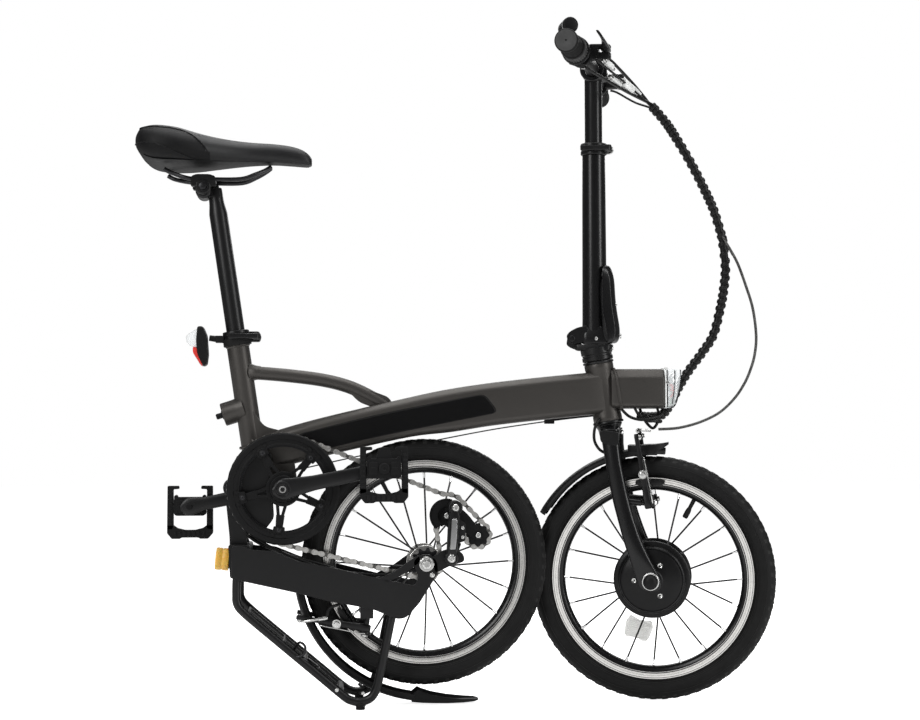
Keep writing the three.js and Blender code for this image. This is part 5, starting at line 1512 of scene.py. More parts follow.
def twist_shifter():
    turn = Shape()
    knurl = []
    for k in range(12):
        knurl += [(17.6, 5 + k * 1.6), (18.5, 5.5 + k * 1.6), (18.5, 6.1 + k * 1.6)]
    bar_sleeve(turn, [(11.4, 4.5), (17.4, 4.5), *knurl, (17.4, 24.6), (11.4, 24.6)], -190)
    for k in range(30):
        a = 2 * math.pi * k / 30
        at = on_bar(-194.5) + np.array([math.cos(a), 0, math.sin(a)]) * 18.3
        end = on_bar(-214) + np.array([math.cos(a), 0, math.sin(a)]) * 17.7
        turn.rod(at, end, 1.1, 0.9, 6)
    # the ribs' lighter grey is a painted highlight for the light that catches them
    make("shifter_grip", turn, GRIP_GREY_AND_SHEEN, "shifter", steered, "twist_shifter")
    ring = Shape()
    bar_sleeve(ring, [(11.4, 24.9), (18.6, 24.9), (19.0, 25.4), (19.0, 27.2), (18.2, 27.8), (11.4, 27.8)],
               -190)
    # the ring's lighter grey is a painted highlight
    make("shifter_ring_painted_sheen", ring, GRIP_GREY_AND_SHEEN, "shifter", steered, bevel=0.2)
    pod = Shape()
    bar_sleeve(pod, [(11.4, -9), (17, -9), (20.4, -6.5), (20.8, -3), (20.8, 3.2), (19.4, 4.2), (11.4, 4.2)],
               -190)
    pod.rod(on_bar(-189, -16, -8), on_bar(-176, -22, 10), 4.6, 3.6, 20)
    make("shifter_pod", pod, BLACK_PLASTIC, "handlebar", steered, bevel=0.3)
    seam = Shape()
    bar_sleeve(seam, [(20.5, -3.4), (21.1, -3.0), (21.1, -1.6), (20.5, -1.2)], -190)
    make("shifter_seam", seam, DARK_STEEL, "handlebar", steered)


def bell():
    """A small bell lying along the bar, with a striker slot across it."""
    body = Shape()
    bar_sleeve(body, [(11.3, -4), (14.4, -4), (14.4, 4), (11.3, 4)], -182)
    body.rod(on_bar(-182, 12, -4), on_bar(-184, 27, -10), 4.4, 4.4, 20)
    cup = [(0, -17), (9.6, -17), (11.4, -15.8), (11.8, -12), (11.8, 5), (11, 6), (11, 7.4), (11.8, 8.4),
           (11.8, 15), (10.6, 17.6), (7, 18.6), (0, 18.8)]
    body.turned(cup, on_bar(-186, 36, -12), [0.35, -0.93, 0.05], 48)
    make("bell_body", body, BLACK_PLASTIC, "handlebar", steered, "bell", bevel=0.4)
    bits = Shape()
    bits.bolt(on_bar(-182, 0, 14.4), [1, 0, 0], 3, 2)
    bits.turned([(11.9, -1.2), (12.3, -0.8), (12.3, 0.6), (11.9, 1), (11.9, -1.2)],
                on_bar(-186, 36, -12) + np.array([0.35, -0.93, 0.05]) * 11, [0.35, -0.93, 0.05], 40)
    make("bell_band", bits, CAST_ALLOY, "handlebar", steered)


LEVER_Y = 142
LEVER_HOUSING = [[(-6, 0.92), (-4.4, 1), (3.8, 1), (4.2, 0.98)],
                 [(11.8, 0.98), (12.2, 1), (15, 1), (16.6, 0.9)]]
LEVER_BLADE = [(35, 133, 8, 4.4, 2.6), (35.4, 140, 8, 5.4, 3.4), (38, 152, 7.6, 4.4, 6),
               (41, 175, 7, 3, 10),
               (42, 200, 7, 2.6, 11.5), (40.6, 222, 9, 2.5, 11.5), (38, 236, 12, 2.6, 10),
               (36.6, 243, 14, 2.2, 6)]


def lever_bracket(side, name):
    """The clamp on the bar and the two halves of the housing, with the cable's exit."""
    x, y = bar_x(side * LEVER_Y), side * LEVER_Y
    bracket = Shape()
    bar_sleeve(bracket, [(11.3, -9), (16.2, -9), (17.2, -7.6), (17.2, 7.6), (16.2, 9), (11.3, 9)], y)
    loop = rounded([(x + 12, 127), (x + 42, 127), (x + 45, 131), (x + 44, 146), (x + 30, 147),
                    (x + 12, 150)], 4, 4)
    for layers in LEVER_HOUSING:
        rings = []
        for z, grow in layers:
            rings.append([(x + 28 + (px - x - 28) * grow, side * (138 + (py - 138) * grow), BAR_Z + z)
                          for px, py in loop])
        bracket.rings(rings)
    bracket.box((x + 10, x + 27), sorted((side * 128, side * 149)), (BAR_Z - 3, BAR_Z + 15))
    bracket.rod([x + 30, side * 128, BAR_Z + 2], [x + 34, side * 113, BAR_Z + 1], 5.2, 4.2, 24)
    make("lever_bracket_" + name, bracket, BLACK_PLASTIC, "handlebar", steered, "brake_bracket_" + name,
         bevel=0.5)


def lever_bolts(side, name):
    x, y = bar_x(side * LEVER_Y), side * LEVER_Y
    bits = Shape()
    bits.bolt([x + 36, side * 138, BAR_Z - 6], [0, 0, -1], 4.6, 2.4)
    bits.bolt([x + 36, side * 138, BAR_Z + 16.4], [0, 0, 1], 4.6, 2)
    bits.bolt([x + 4, y, BAR_Z - 17], [0.1, 0, -1], 4, 3)
    bits.rod([x + 34, side * 113, BAR_Z + 1], [x + 36.4, side * 104, BAR_Z + 0.4], 3.6, 3.2, 20)
    bits.turned([(3, 0), (4.8, 0), (4.8, 3), (3, 3), (3, 0)], [x + 34.4, side * 111.4, BAR_Z + 0.9],
                [0.26, -side, 0], 20)
    make("lever_bracket_bolts_" + name, bits, STEEL, "handlebar", steered, bevel=0.2)


def lever_blade(side, name):
    """A bent blade, broad where the fingers lie. Each station is (x, y, lift, half width, half height)."""
    x = bar_x(side * LEVER_Y)
    rings = []
    for ex, ey, lift, wide, tall in LEVER_BLADE:
        rings.append([(x + ex + wide * a - 0.55 * tall * b, side * ey, BAR_Z + lift + 0.84 * tall * b)
                      for a, b in rounded(SQUARE, 0.65, 4)])
    make("lever_blade_" + name, Shape().rings(rings), BLACK_PAINT, "lever_" + name, steered,
         "brake_lever_" + name, bevel=0.2)


def brake_levers():
    for side, name in ((1, "left"), (-1, "right")):
        lever_bracket(side, name)
        lever_bolts(side, name)
        lever_blade(side, name)


# ---- rear frame -----------------------------------------------------------------------------
STAY = [(-346, 252), (-324, 249), (-316, 244.5), (-284, 243), (-243, 226), (-189, 215.5), (-115, 197.5),
        (-90, 193), (-66, 187), (-61, 203),
        (-66, 214), (-69, 226), (-58, 235), (-44, 236), (-32, 226), (-30, 208), (-50, 177), (-59, 162),
        (-80, 139), (-94, 137), (-132, 153), (-196, 165), (-247, 178.5),
        (-331, 197.5), (-346, 199.5)]
HUB_HALF = 59
STAY_OUT = 65
FOLD_ANGLE = math.radians(156.5)
RACK_HALF = 57


def swung(point):
    """Where a point of the main frame lies in the rear frame when the bicycle is open."""
    d = np.asarray(point, float) - FOLD_PIVOT
    c, s = math.cos(FOLD_ANGLE), math.sin(FOLD_ANGLE)
    return FOLD_PIVOT + np.array([d[0] * c - d[2] * s, 0, d[0] * s + d[2] * c])


BLOCK_FACE = swung(BOSS_FACE)
BLOCK_IN = swung(BOSS_FACE + BOSS_OUT) - BLOCK_FACE


def stay_plates():
    """Both stay plates with their struts, the yokes on the fold pin, and the cross piece."""
    stays = Shape()
    outline = rounded(STAY, 7, 3)
    middle = np.mean(outline, axis=0)
    for side in (-1, 1):
        inner = side * HUB_HALF
        rings = []
        for y, line in ((inner, outline), (side * (STAY_OUT - 0.8), outline),
                        (side * STAY_OUT, [tuple(np.array(p) + (middle - p) * 0.004) for p in outline])):
            rings.append([(x, y, z) for x, z in line])
        stays.rings(rings)
        strut = [(-122, 199), (-97, 210), (-76, 225), (-60, 235), (-58, 224), (-72, 214), (-92, 201),
                 (-108, 194)]
        stays.plate(rounded(strut, 3, 3), *sorted((side * HUB_HALF, side * STAY_OUT)))
        yoke = [(-357, 330), (-341, 364), (-326, 391), (-306, 403), (-286, 392), (-290, 345), (-286, 318),
                (-284, 288), (-302, 266), (-326, 262), (-320, 245), (-322, 230), (-350, 230), (-350, 262)]
        stays.plate(rounded(yoke, 7, 5), *sorted((side * 28.4, side * 36.4)))
        lug = [(8.4, 28.4), (14, 28.4), (15.2, 29.4), (15.2, 36.6), (14, 37.6), (8.4, 37.6)]
        stays.turned([*lug, lug[0]], FOLD_PIVOT, ACROSS * side, 40)
        stays.box((-150, -130), sorted((side * 36, side * 60)), (138, 160))
        foot = np.array([-141, side * 42, 125])
        way = np.array([0.167, 0, 0.986])
        stays.rod(foot - way * 14, foot + way * 15, 4.2, sides=24)
    cross = [(-351, 252), (-318, 251), (-318, 201), (-348, 201)]
    stays.plate(rounded(cross, 4, 4), -59.4, 59.4)
    stays.plate(rounded([(-40, 232), (-20, 243), (-4, 243), (8, 236), (10, 224), (-12, 218), (-36, 206)], 6,
                        4), -65, -59)
    make("stay_plates", stays, BLACK_PAINT, "rear_frame", standing, "rear_frame", bevel=0.8)


def rubber_block():
    """The amber block that the open bicycle rests against, on its turned plinth."""
    plinth = Shape()
    step = [(0, 22.4), (13.6, 22.4), (14.2, 23.4), (14.2, 31), (15.2, 32), (15.2, 34.5), (0, 34.5)]
    plinth.turned(step, BLOCK_FACE, BLOCK_IN, 40)
    make("block_plinth", plinth, BLACK_PAINT, "rear_frame", standing, bevel=0.4)
    block = Shape()
    profile = [(7.4, 0.7), (16.2, 0.7), (17.4, 2.2), (17.4, 9), (16.6, 10.4), (16.6, 11.8), (17.4, 13.2),
               (17.4, 20.2), (16.4, 21.8), (0, 21.8), (0, 14), (7, 14)]
    block.turned([*profile, profile[0]], BLOCK_FACE, BLOCK_IN, 56)
    make("rubber_block", block, AMBER, "rear_frame", standing, "elastomer", bevel=0.7)


def stay_fittings():
    bits = Shape()
    for side in (-1, 1):
        bits.bolt([-40, side * 65, 204], [0, side, 0], 4, 2)
    make("stay_bolts", bits, STEEL, "rear_frame", standing, bevel=0.2)
    bracket = Shape()
    for side in (-1, 1):
        bracket.tube([(-298, side * 58, 230), (-292, side * 52, 219), (-283, side * 48, 207),
                      (-274, side * 46, 196)], 2.2, 10)
    make("stay_bracket", bracket, BLACK_PAINT, "rear_frame", standing)


RACK_SIDE = [(-338, 199), (-338.4, 178), (-337, 162), (-326, 148), (-288, 115.4), (-250, 83.5),
             (-213, 52.5), (-176, 21.5), (-163, 13.8), (-150, 12),
             (-136, 16.5), (-127.5, 27), (-122, 45), (-112, 92), (-103, 136)]


def rack():
    tubes = Shape()
    for side in (-1, 1):
        y = side * RACK_HALF
        tubes.tube([(x, y, z) for x, z in RACK_SIDE], 6.6, 24, 8)
        tubes.rod([-338, y, 196], [-338, y, 214], 6.6, 5, 24)
        tubes.rod([-103, y, 136], [-98, y, 166], 6.6, 5, 24)
    for x, z in ((-236, 71.7), (-180, 24.8)):
        tubes.rod([x, -RACK_HALF, z], [x, RACK_HALF, z], 5, sides=24)
    make("rack_tubes", tubes, BLACK_PAINT, "rear_frame", standing, "rear_rack", bevel=0.3)
    feet = Shape()
    for side in (-1, 1):
        profile = [(0, 0), (6.2, 0), (6.9, 0.8), (6.9, 5), (8.2, 6), (8.2, 9.4), (7.2, 11), (0, 11)]
        feet.turned(profile, [-150, side * RACK_HALF, 0], UP, 32)
    make("rack_feet", feet, RUBBER, "rear_frame", standing)
    inner = Shape()
    for side in (-1, 1):
        line = [(-322, side * 44, 146), (-288, side * 44, 117.5), (-250, side * 44, 85.5),
                (-213, side * 44, 54.5), (-182, side * 44, 28)]
        rings = []
        for point in line:
            rings.append([np.array(point) + np.array([0.64, 0, 0.77]) * (2.4 * a) + ACROSS * (1.8 * b)
                          for a, b in rounded(SQUARE, 0.5, 2)])
        inner.rings(rings)
    for x, z in ((-322, 146), (-268, 101), (-182, 28)):
        inner.rod([x, -56, z], [x, 56, z], 2.6, sides=16)
    make("rack_inner_bars", inner, BLACK_PAINT, "rear_frame", standing)
    hook = Shape()
    hook.tube([(-252, -50, 90), (-246, -58, 100), (-241, -66, 104), (-234, -67, 98), (-235, -65, 88),
               (-243, -63, 82), (-252, -60, 84)], 2, 12)
    hook.tube([(-230, 0, 70), (-215, -30, 62), (-222, -52, 66), (-238, -60, 80)], 2.6, 12)
    make("rack_hook", hook, DARK_STEEL, "rear_frame", standing)
    bits = Shape()
    for side in (-1, 1):
        bits.bolt([-186, side * 63, 31], [0, side, 0], 3.2, 2)
    make("rack_bolts", bits, STEEL, "rear_frame", standing, bevel=0.2)


def rear_fender():
    fender_shell("rear_fender_shell", REAR_AXLE, 190, 268, 206, 11, 25, "rear_frame", standing,
                 "rear_fender", 0.3)
    flap = Shape()
    rings = []
    for x, low, high, half in ((-70, 5, 16, 22), (-60, 4, 24, 22), (-54, 3.6, 21, 23), (-38, 3, 15.6, 24),
                               (-14, 2.6, 11, 24), (10, 3, 8.6, 22), (28, 4, 8, 17), (35, 5, 7.4, 8)):
        section = [(-half, low), (half, low), (half, high), (half - 2, high), (half - 2.4, low + 1.8),
                   (2.4 - half, low + 1.8), (2 - half, high), (-half, high)]
        rings.append([(x, y, z) for y, z in rounded(section, 0.8, 2)])
    flap.rings(rings)
    flap.rod([-315, 0, 211], [-250, 0, 180], 3.6, sides=16)
    for side in (-1, 1):
        flap.tube([(-150, side * 50, 24), (-146, side * 38, 22), (-141, side * 26, 24)], 2.4, 12)
    make("mud_flap", flap, BLACK_PLASTIC, "rear_frame", standing, bevel=0.2)
    bits = Shape()
    for side in (-1, 1):
        bits.bolt([-146, side * 58, 25], [0, side, 0], 3, 2)
        bits.bolt(polar(REAR_AXLE, 212, 250, side * 20), [0, side, 0], 3, 1.6)
    make("rear_fender_bolts", bits, STEEL, "rear_frame", standing)


def rear_brake():
    way, out = np.array([-0.986, 0, 0.167]), np.array([0.167, 0, 0.986])
    for side, name in ((1, "left"), (-1, "right")):
        foot = np.array([-141, side * 42, 125]) - out * 3
        body = "rear_arm_" + name
        brake_arm(side, foot, way, -out, 108, "rear_" + name, body, standing, "rear_brake_arm_" + name)
        spine = [polar(REAR_AXLE, 151.5, 215.7 + a) for a in np.linspace(-8, 8, 13)]
        brake_pad("rear_" + name, side, spine, polar([0, 0, 0], 1, 215.7), body, standing)
    tip = np.array([-141, 0, 125]) + way * 102 - out * 8
    noodle = Shape()
    noodle.tube([tip + ACROSS * 40, tip + ACROSS * 20 - out * 1, tip - ACROSS * 10 - out,
                 tip - ACROSS * 38], 1.0, 8)
    noodle.tube([tip - ACROSS * 36, tip - ACROSS * 44 - way * 2, tip - ACROSS * 50 - way * 14 + out * 3,
                 tip - ACROSS * 51 - way * 30 + out * 9], 2.3, 14)
    noodle.turned([(0, 0), (3.4, 0), (3.4, 12), (2.4, 14), (0, 14)], tip - ACROSS * 51 - way * 28 + out * 8,
                  -way + out * 0.3, 20)
    make("rear_noodle", noodle, STEEL, "rear_frame", standing)
    boot = Shape()
    rings = [circle(tip + ACROSS * (-34 + 30 * k / 20), ACROSS,
                    3.0 + 0.8 * math.cos(14 * math.pi * k / 20) - k * 0.05, 14) for k in range(21)]
    boot.rings(rings)
    make("rear_boot", boot, RUBBER, "rear_frame", standing)
    cable = Shape().tube([tip - ACROSS * 51 - way * 40 + out * 12, (-196, -53, 154), (-170, -54, 166),
                          (-150, -54, 190), (-190, -52, 214), (-262, -46, 236),
                          (-318, -40, 262), (-337, -38, 300)], 2.4, 14)
    make("rear_brake_hose", cable, CABLE_SKIN, "rear_frame", standing)


# ---- derailleur -----------------------------------------------------------------------------
def derailleur():
    body = Shape()
    column = [(-20, 224), (-6, 224), (-1, 250), (2, 298), (-2, 314), (-12, 314), (-16, 290), (-18, 250)]
    rings = []
    for y, grow in ((-84, 0.82), (-82, 0.95), (-79, 1), (-70, 1), (-68, 0.96)):
        rings.append([(-8 + (x + 8) * grow, y, 270 + (z - 270) * (0.04 + 0.96 * grow))
                      for x, z in rounded(column, 6, 4)])
    body.rings(rings)
    mount = [(0, 65.3), (9.6, 65.3), (10.2, 66.4), (10.2, 82), (9.2, 83.6), (0, 83.6)]
    body.turned(mount, [-11.6, 0, 230], -ACROSS, 40)
    body.turned([(0, 56), (10.4, 56), (11, 57.2), (11, 81), (9.8, 82.6), (0, 82.6)], [-5, 0, 307], -ACROSS,
                40)
    body.plate(rounded([(-4, 252), (10, 256), (11, 282), (-2, 292)], 3), -76, -68)
    make("derailleur_arm", body, BLACK_PAINT, "rear_frame", standing, "derailleur_body",
         bevel=0.5)
    plate = Shape().plate(rounded([(-15, 246), (-6, 246), (-1, 268), (-1, 288), (-8, 294), (-14, 284)], 4,
                                  4), -85.8, -83.4)
    make("derailleur_plate", plate, GLOSS_BLACK, "rear_frame", standing, bevel=0.9)
    stripe = Shape().plate(rounded([(-14, 244), (-6, 244), (-3.4, 266), (-3, 290), (-11, 290),
                                    (-12.6, 266)], 1.6, 3), -87.2, -85.4)
    make("derailleur_stripe", stripe, CHROME, "rear_frame", standing, bevel=0.3)
    bits = Shape()
    for x, z, r in ((-11.6, 230, 6.4), (-5, 307, 5.6)):
        bits.bolt([x, -83.4, z], [0, -1, 0], r, 3.4, 28)
    for z in (262, 276):
        bits.bolt([6, -76, z], [0, -1, 0], 3, 2)
    coil = [polar([-5, 0, 307], 9, 40 * k, -66.5 + 0.35 * k) for k in range(20)]
    bits.tube(coil, 0.9, 8, 2)
    make("derailleur_bolts", bits, STEEL, "rear_frame", standing, bevel=0.2)
    wire = Shape().tube([(2, -70, 252), (-4, -62, 238), (-24, -56, 228), (-64, -55, 214), (-110, -55, 204),
                         (-190, -55, 212), (-262, -52, 236), (-318, -46, 268), (-339, -44, 304)], 2.3, 14)
    make("gear_cable", wire, CABLE_SKIN, "rear_frame", standing)


def derailleur_cage():
    cage = Shape()
    arm = [(-22, 306), (2, 308), (16, 296), (36, 270), (37, 258), (27, 256), (12, 268), (-4, 276)]
    for low, high in ((-55.5, -53.2), (-37.3, -35)):
        cage.plate(rounded(arm, [6, 8, 14, 6, 5, 6, 12, 6], 4), low, high)
    for low, high in ((-55.2, -53.2), (-37.6, -35.2)):
        guard = [polar(GUIDE, 25.5, a) for a in range(70, 236, 6)]
        guard += [polar(GUIDE, 13.5, a) for a in range(235, 69, -6)]
        cage.plate([(p[0], p[2]) for p in guard], low, high)
    cage.tube([polar(GUIDE, 24.8, a, -54.6) for a in range(70, 236, 6)], 1.7, 10, 1)
    for x, _, z in (GUIDE, TENSION):
        cage.rod([x, -56, z], [x, -34.5, z], 2.9, sides=20)
    guide = toothed(11, 15.2, 18.6)
    ring_plate(cage, GUIDE, guide, [(2.5, a) for _, a in guide], CHAINLINE - 1.3, CHAINLINE + 1.3)
    cage.turned([(2.6, -4), (8, -4), (8, 4), (2.6, 4), (2.6, -4)], GUIDE + ACROSS * CHAINLINE, ACROSS, 28)
    make("cage_plates", cage, BLACK_PLASTIC, "cage", standing, "derailleur_cage",
         bevel=0.4)
    bits = Shape()
    for x, _, z in (GUIDE, TENSION):
        bits.bolt([x, -57, z], [0, -1, 0], 4.6, 2.6)
    make("cage_bolts", bits, STEEL, "cage", standing, bevel=0.2)


def tension_wheel():
    """The lower toothed wheel with a lobed face on each side."""
    wheel = Shape()
    teeth = toothed(11, 15.2, 18.6)
    ring_plate(wheel, TENSION, teeth, [(9.4 + 1.4 * math.cos(math.radians(4 * a)), a) for _, a in teeth],
               CHAINLINE - 1.3, CHAINLINE + 1.3)
    lobes = [(16.4 + 1.7 * math.cos(math.radians(8 * a)), a) for a in range(0, 360, 5)]
    for low in (CHAINLINE - 8.4, CHAINLINE + 3.4):
        ring_plate(wheel, TENSION, lobes, [(6 if low < CHAINLINE else 4, a) for _, a in lobes], low,
                   low + 3)
    wheel.turned([(3.4, -3.8), (7, -3.8), (7, 3.8), (3.4, 3.8), (3.4, -3.8)], TENSION + ACROSS * CHAINLINE,
                 ACROSS, 28)
    for k in range(4):
        spoke = [polar(TENSION, 6, 45 + 90 * k, CHAINLINE), polar(TENSION, 10.5, 45 + 90 * k, CHAINLINE)]
        wheel.rod(*spoke, 1.6, sides=10)
    make("tension_wheel", wheel, BLACK_PLASTIC, "pulley", standing, "tension_pulley",
         bevel=0.2)


# ---- cables ---------------------------------------------------------------------------------
BUNDLE = [(318, -8, 941), (340, -8, 915), (357, -8, 889), (381, -6, 849), (402, -3, 809), (418, 1, 775),
          (432, 6, 732), (438, 12, 687), (436, 18, 650),
          (431, 24, 618), (421, 30, 578), (403, 35, 549), (383, 38, 522), (366, 39, 495), (352, 39, 468),
          (338, 38, 450), (318, 36, 446.5), (300, 34, 448)]
BRAKE_CABLE = [(440, -6, 716), (453, -8, 691), (465.5, -10, 655), (476, -12, 618), (480.5, -14, 575),
               (477, -16, 543), (468.5, -18, 517), (458, -20, 496),
               (442, -22, 474), (417, -26, 452), (385, -30, 437), (350, -33, 428), (318, -36, 426)]
SPLIT = 6  # the bundle's point that follows the fork
CORE_R, WRAP_R, WRAP_PITCH = 5.9, 6.8, 10.5
WRAP_SECTION = [(-3.8, -1.2), (-3, 0.6), (0, 1.3), (3, 0.6), (3.8, -1.2)]  # along the core, and out from it


def run_length(line):
    return float(np.sum(np.linalg.norm(np.diff(line, axis=0), axis=1)))


def wrapped(name, route, replaces=()):
    """A length of the bundle: a core tube, and the flat spiral that is wound round it."""
    line = spline(route, 10)
    core = Shape().rings(sections(line, CORE_R, 20))
    piece = make(name, core, CABLE_SKIN, None, standing, replaces)
    turns = run_length(line) / WRAP_PITCH
    fine = spline(route, 90)
    rings = []
    for k, (u, v) in enumerate(line_frames(fine)):
        t = k / (len(fine) - 1)
        a = 2 * math.pi * turns * t
        ahead = np.cross(u, v)
        out = u * math.cos(a) + v * math.sin(a)
        at = fine[k] + out * WRAP_R
        rings.append([at + ahead * along + out * rise for along, rise in WRAP_SECTION])
    winding = make(name + "_wrap", Shape().rings(rings), SPIRAL, None, standing)
    for obj in (piece, winding):
        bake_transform(obj)


def bundle():
    upper, lower = BUNDLE[:SPLIT + 1][::-1], BUNDLE[SPLIT:][::-1]
    wrapped("cable_bundle_upper", upper, "cable_bundle")
    wrapped("cable_bundle_lower", lower)


MOUTH = np.array(BUNDLE[0], float)


def bar_cables():
    """The separate cables between the bundle's mouth and the brackets on the bar."""
    ends = [(on_bar(-104, 0.4, 36), 2.5), (on_bar(-176, -22, 12), 2.4), (on_bar(104, 0.4, 36), 2.5),
            (on_bar(-168, -10, 26), 1.8), (on_bar(120, -12, 22), 1.8)]
    for k, (end, r) in enumerate(ends):
        end = steer([end])[0]
        a = 2 * math.pi * k / len(ends)
        offset = np.array([0.7 * math.sin(a), math.cos(a), 0.6 * math.sin(a)]) * 3.2
        side = np.sign(end[1]) or 1
        out = end + np.array([10, -side * 8, -5])
        middle = (out + MOUTH) / 2 + np.array([2, -side * 3, 2 - 5 * (k % 3)])
        line = [MOUTH + np.array([6, 0, -9]) + offset, MOUTH + offset * 1.1, middle + offset, out, end]
        piece = make("bar_cable_%d" % k, Shape().tube(line, r, 12, 10), CABLE_SKIN, None, standing)
        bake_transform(piece)


def cable_joints():
    """The connectors and adjusters in the cables at the bar."""
    start = steer([on_bar(-138, -10, 30)])[0]
    way = (MOUTH - start) / np.linalg.norm(MOUTH - start)
    sleeves, tips = Shape(), Shape()
    for k, (share, r, length, lift) in enumerate(((0.05, 5.4, 24, 3), (0.4, 6.6, 34, -2),
                                                  (0.2, 4.2, 30, -9), (0.62, 4.6, 26, 6))):
        at = start + (MOUTH - start) * share + UP * lift + ACROSS * (6 * k - 9)
        sleeves.turned([(0, 0), (r * 0.8, 0), (r, 2), (r, length - 2), (r * 0.8, length), (0, length)], at,
                       way, 24)
        tips.turned([(0, -8), (2.6, -8), (3.4, -6), (3.4, 0), (0, 0)], at, way, 20)
        tips.turned([(0, 0), (3.2, 0), (3.2, 5), (2.2, 8), (0, 8)], at + way * length, way, 20)
    for name, shape, looks, slot in (("cable_connectors", sleeves, MILKY, "clear_plastic"),
                                     ("cable_adjusters", tips, STEEL, "steel")):
        piece = make(name, shape, looks, None, standing)
        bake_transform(piece)


def front_brake_cable():
    line = spline(BRAKE_CABLE, 8)
    piece = make("front_brake_hose", Shape().rings(sections(line, 2.2, 14)), BRAID, "fork", standing,
                 "front_brake_cable")
    root = Shape().tube([(428, 4, 746), (433, -1, 731), (440, -6, 716), (446, -7, 704)], 2.1, 14)
    make("front_brake_hose_root", root, BRAID, "fork", standing)


def frame_cables():
    loops = Shape()
    loops.tube([(300, 30, 452), (318, 26, 446), (330, 18, 441), (328, 6, 438), (312, -2, 441),
                (296, -4, 452)], 2.6, 12)
    loops.tube([(282, -20, 462), (290, -24, 447), (303, -26, 439), (318, -22, 441), (322, -14, 452),
                (320, -10, 462)], 2.2, 12)
    loops.tube([(262, -20, 458), (274, -26, 446), (292, -28, 441), (312, -24, 444), (326, -16, 450),
                (330, -8, 460)], 2.3, 12)
    loops.tube([(296, 8, 460), (300, 2, 446), (306, -8, 434), (314, -12, 428), (322, -8, 438),
                (326, 4, 452)], 2.3, 12)
    make("frame_cable_loops", loops, CABLE_SKIN, "main_frame", standing)
    drop = Shape().tube([(230, -16, 444), (221, -24, 434), (217, -28, 420), (218, -30, 406),
                         (226, -29, 394), (238, -24, 388)], 2.3, 12)
    make("fork_cable_loop", drop, CABLE_SKIN, "fork", standing)


def beam_wire():
    """The thin wire under the beam, and the clip where it leaves its lead."""
    wire = Shape().tube([(152, 22, 440), (66, 22, 427.5), (-21, 22, 411.5), (-110, 22, 394),
                         (-200, 22, 375), (-262, 24, 361)], 1.1, 8)
    make("beam_wire", wire, BRAID, "main_frame", standing)
    lead = Shape().tube([(152, 22, 441), (185, 21, 445), (214, 18, 448), (224, 12, 449)], 2.2, 10)
    lead.box((145, 160), (14, 27), (435.6, 448))
    make("beam_lead", lead, BLACK_PLASTIC, "main_frame", standing, bevel=0.8)


def motor_cable():
    hub_wire = Shape()
    hub_wire.tube([(305, 63, 198), (298, 66, 222), (286, 62, 256), (272, 57, 310), (262, 52, 366),
                   (252, 44, 414)], 2.6, 12)
    make("motor_cable", hub_wire, CABLE_SKIN, "fork", steered)


# ---- the whole ------------------------------------------------------------------------------
def bicycle():
    front_wheel()
    rear_wheel()
    cog()
    chain()
    for side in (-1, 1):
        crank_arm(side)
        pedal(side)
    chain_guard()
    main_frame()
    headset()
    bottom_bracket()
    fold_pin()
    lamp_shell()
    lamp_inside()
    seat_clamp()
    tail_light()
    seatpost()
    saddle()
    fork()
    front_brake()
    front_fender()
    post_base()
    post_body()
    post_clamp()
    post_latch()
    upper_post()
    handlebar()
    twist_shifter()
    bell()
    brake_levers()
    stay_plates()
    rubber_block()
    stay_fittings()
    rack()
    rear_fender()
    rear_brake()
    derailleur()
    derailleur_cage()
    tension_wheel()
    bundle()
    bar_cables()
    cable_joints()
    front_brake_cable()
    frame_cables()
    beam_wire()
    motor_cable()


# ---- studio ---------------------------------------------------------------------------------
FOCAL_PX = 1762.0
IMAGE_W = 920
CAMERA_AT = (-199.4, -2770.8, 408.1)
CAMERA_YAW, CAMERA_PITCH, CAMERA_ROLL = -4.295, 2.646, 0.226
LAMP_AIM = (0, 0, 0.45)
# Each lamp's name, place, size and power, in metres and watts.
LAMPS = [("key", (-1.9, -2.0, 1.9), (0.9, 2.2), 55), ("side", (2.4, -1.6, 1.3), (0.6, 2.4), 42),
         ("top", (0.1, 0.1, 3.2), (3.2, 2.2), 95), ("back", (0.6, 2.6, 1.9), (2.4, 1.4), 30)]
WORLD_LIGHT = 0.16  # the sky is white to look at, and dimmer as a light
FLOOR_GLOW = 0.86  # the paper gives this to look at, and none of it as light


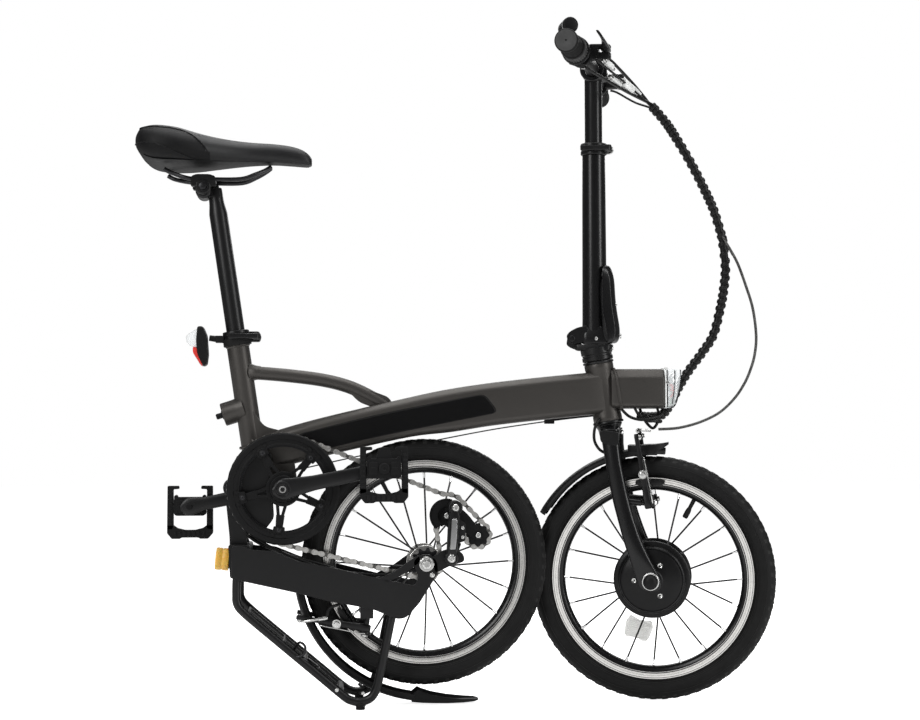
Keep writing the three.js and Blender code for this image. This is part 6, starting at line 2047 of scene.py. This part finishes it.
def camera():
    data = bpy.data.cameras.new("camera")
    data.sensor_width = 36
    data.lens = FOCAL_PX * data.sensor_width / IMAGE_W
    data.clip_end = 30
    obj = bpy.data.objects.new("camera", data)
    bpy.context.scene.collection.objects.link(obj)
    aim = (Matrix.Rotation(math.radians(CAMERA_YAW), 3, "Z")
           @ Matrix.Rotation(math.radians(CAMERA_PITCH), 3, "X")
           @ Matrix.Rotation(math.radians(CAMERA_ROLL), 3, "Y"))
    right, ahead, up = aim.col
    turn = Matrix((right, up, -ahead)).transposed()
    obj.matrix_world = Matrix.Translation(Vector(standing([CAMERA_AT])[0])) @ turn.to_4x4()
    bpy.context.scene.camera = obj


def area_light(name, at, look, size, power):
    data = bpy.data.lights.new(name, "AREA")
    data.shape = "RECTANGLE"
    data.size, data.size_y = size
    data.energy = power
    obj = bpy.data.objects.new(name, data)
    bpy.context.scene.collection.objects.link(obj)
    obj.location = at
    obj.rotation_euler = (Vector(look) - Vector(at)).to_track_quat("-Z", "Y").to_euler()


def seen_only(tree, as_light, to_look_at, socket):
    """Gives a strength that is higher for what the viewer sees than for the light it sheds."""
    path = tree.nodes.new("ShaderNodeLightPath")
    strength = tree.nodes.new("ShaderNodeMapRange")
    strength.inputs["To Min"].default_value = as_light
    strength.inputs["To Max"].default_value = to_look_at
    tree.links.new(path.outputs["Is Camera Ray"], strength.inputs["Value"])
    tree.links.new(strength.outputs["Result"], socket)


def studio():
    mesh = bpy.data.meshes.new("floor")
    far = 14.0
    mesh.from_pydata([(-far, -far, 0), (far, -far, 0), (far, far, 0), (-far, far, 0)], [], [(0, 1, 2, 3)])
    floor = bpy.data.objects.new("floor", mesh)
    bpy.context.scene.collection.objects.link(floor)
    paper = material("floor", [0.93, 0.93, 0.93], 0.6, mottle=0.01, patch=3, bump=0.0, specular=0.1)
    paper.node_tree.nodes["Principled BSDF"].inputs["Emission Color"].default_value = (1, 1, 1, 1)
    seen_only(paper.node_tree, 0.0, FLOOR_GLOW,
              paper.node_tree.nodes["Principled BSDF"].inputs["Emission Strength"])
    mesh.materials.append(paper)
    world = bpy.data.worlds.new("world")
    bpy.context.scene.world = world
    world.use_nodes = True
    sky = world.node_tree.nodes["Background"]
    sky.inputs["Color"].default_value = (1, 1, 1, 1)
    seen_only(world.node_tree, WORLD_LIGHT, 1.0, sky.inputs["Strength"])
    for name, at, size, power in LAMPS:
        area_light(name, at, LAMP_AIM, size, power)
    bpy.context.scene.view_settings.view_transform = "Standard"


camera()
bicycle()
studio()
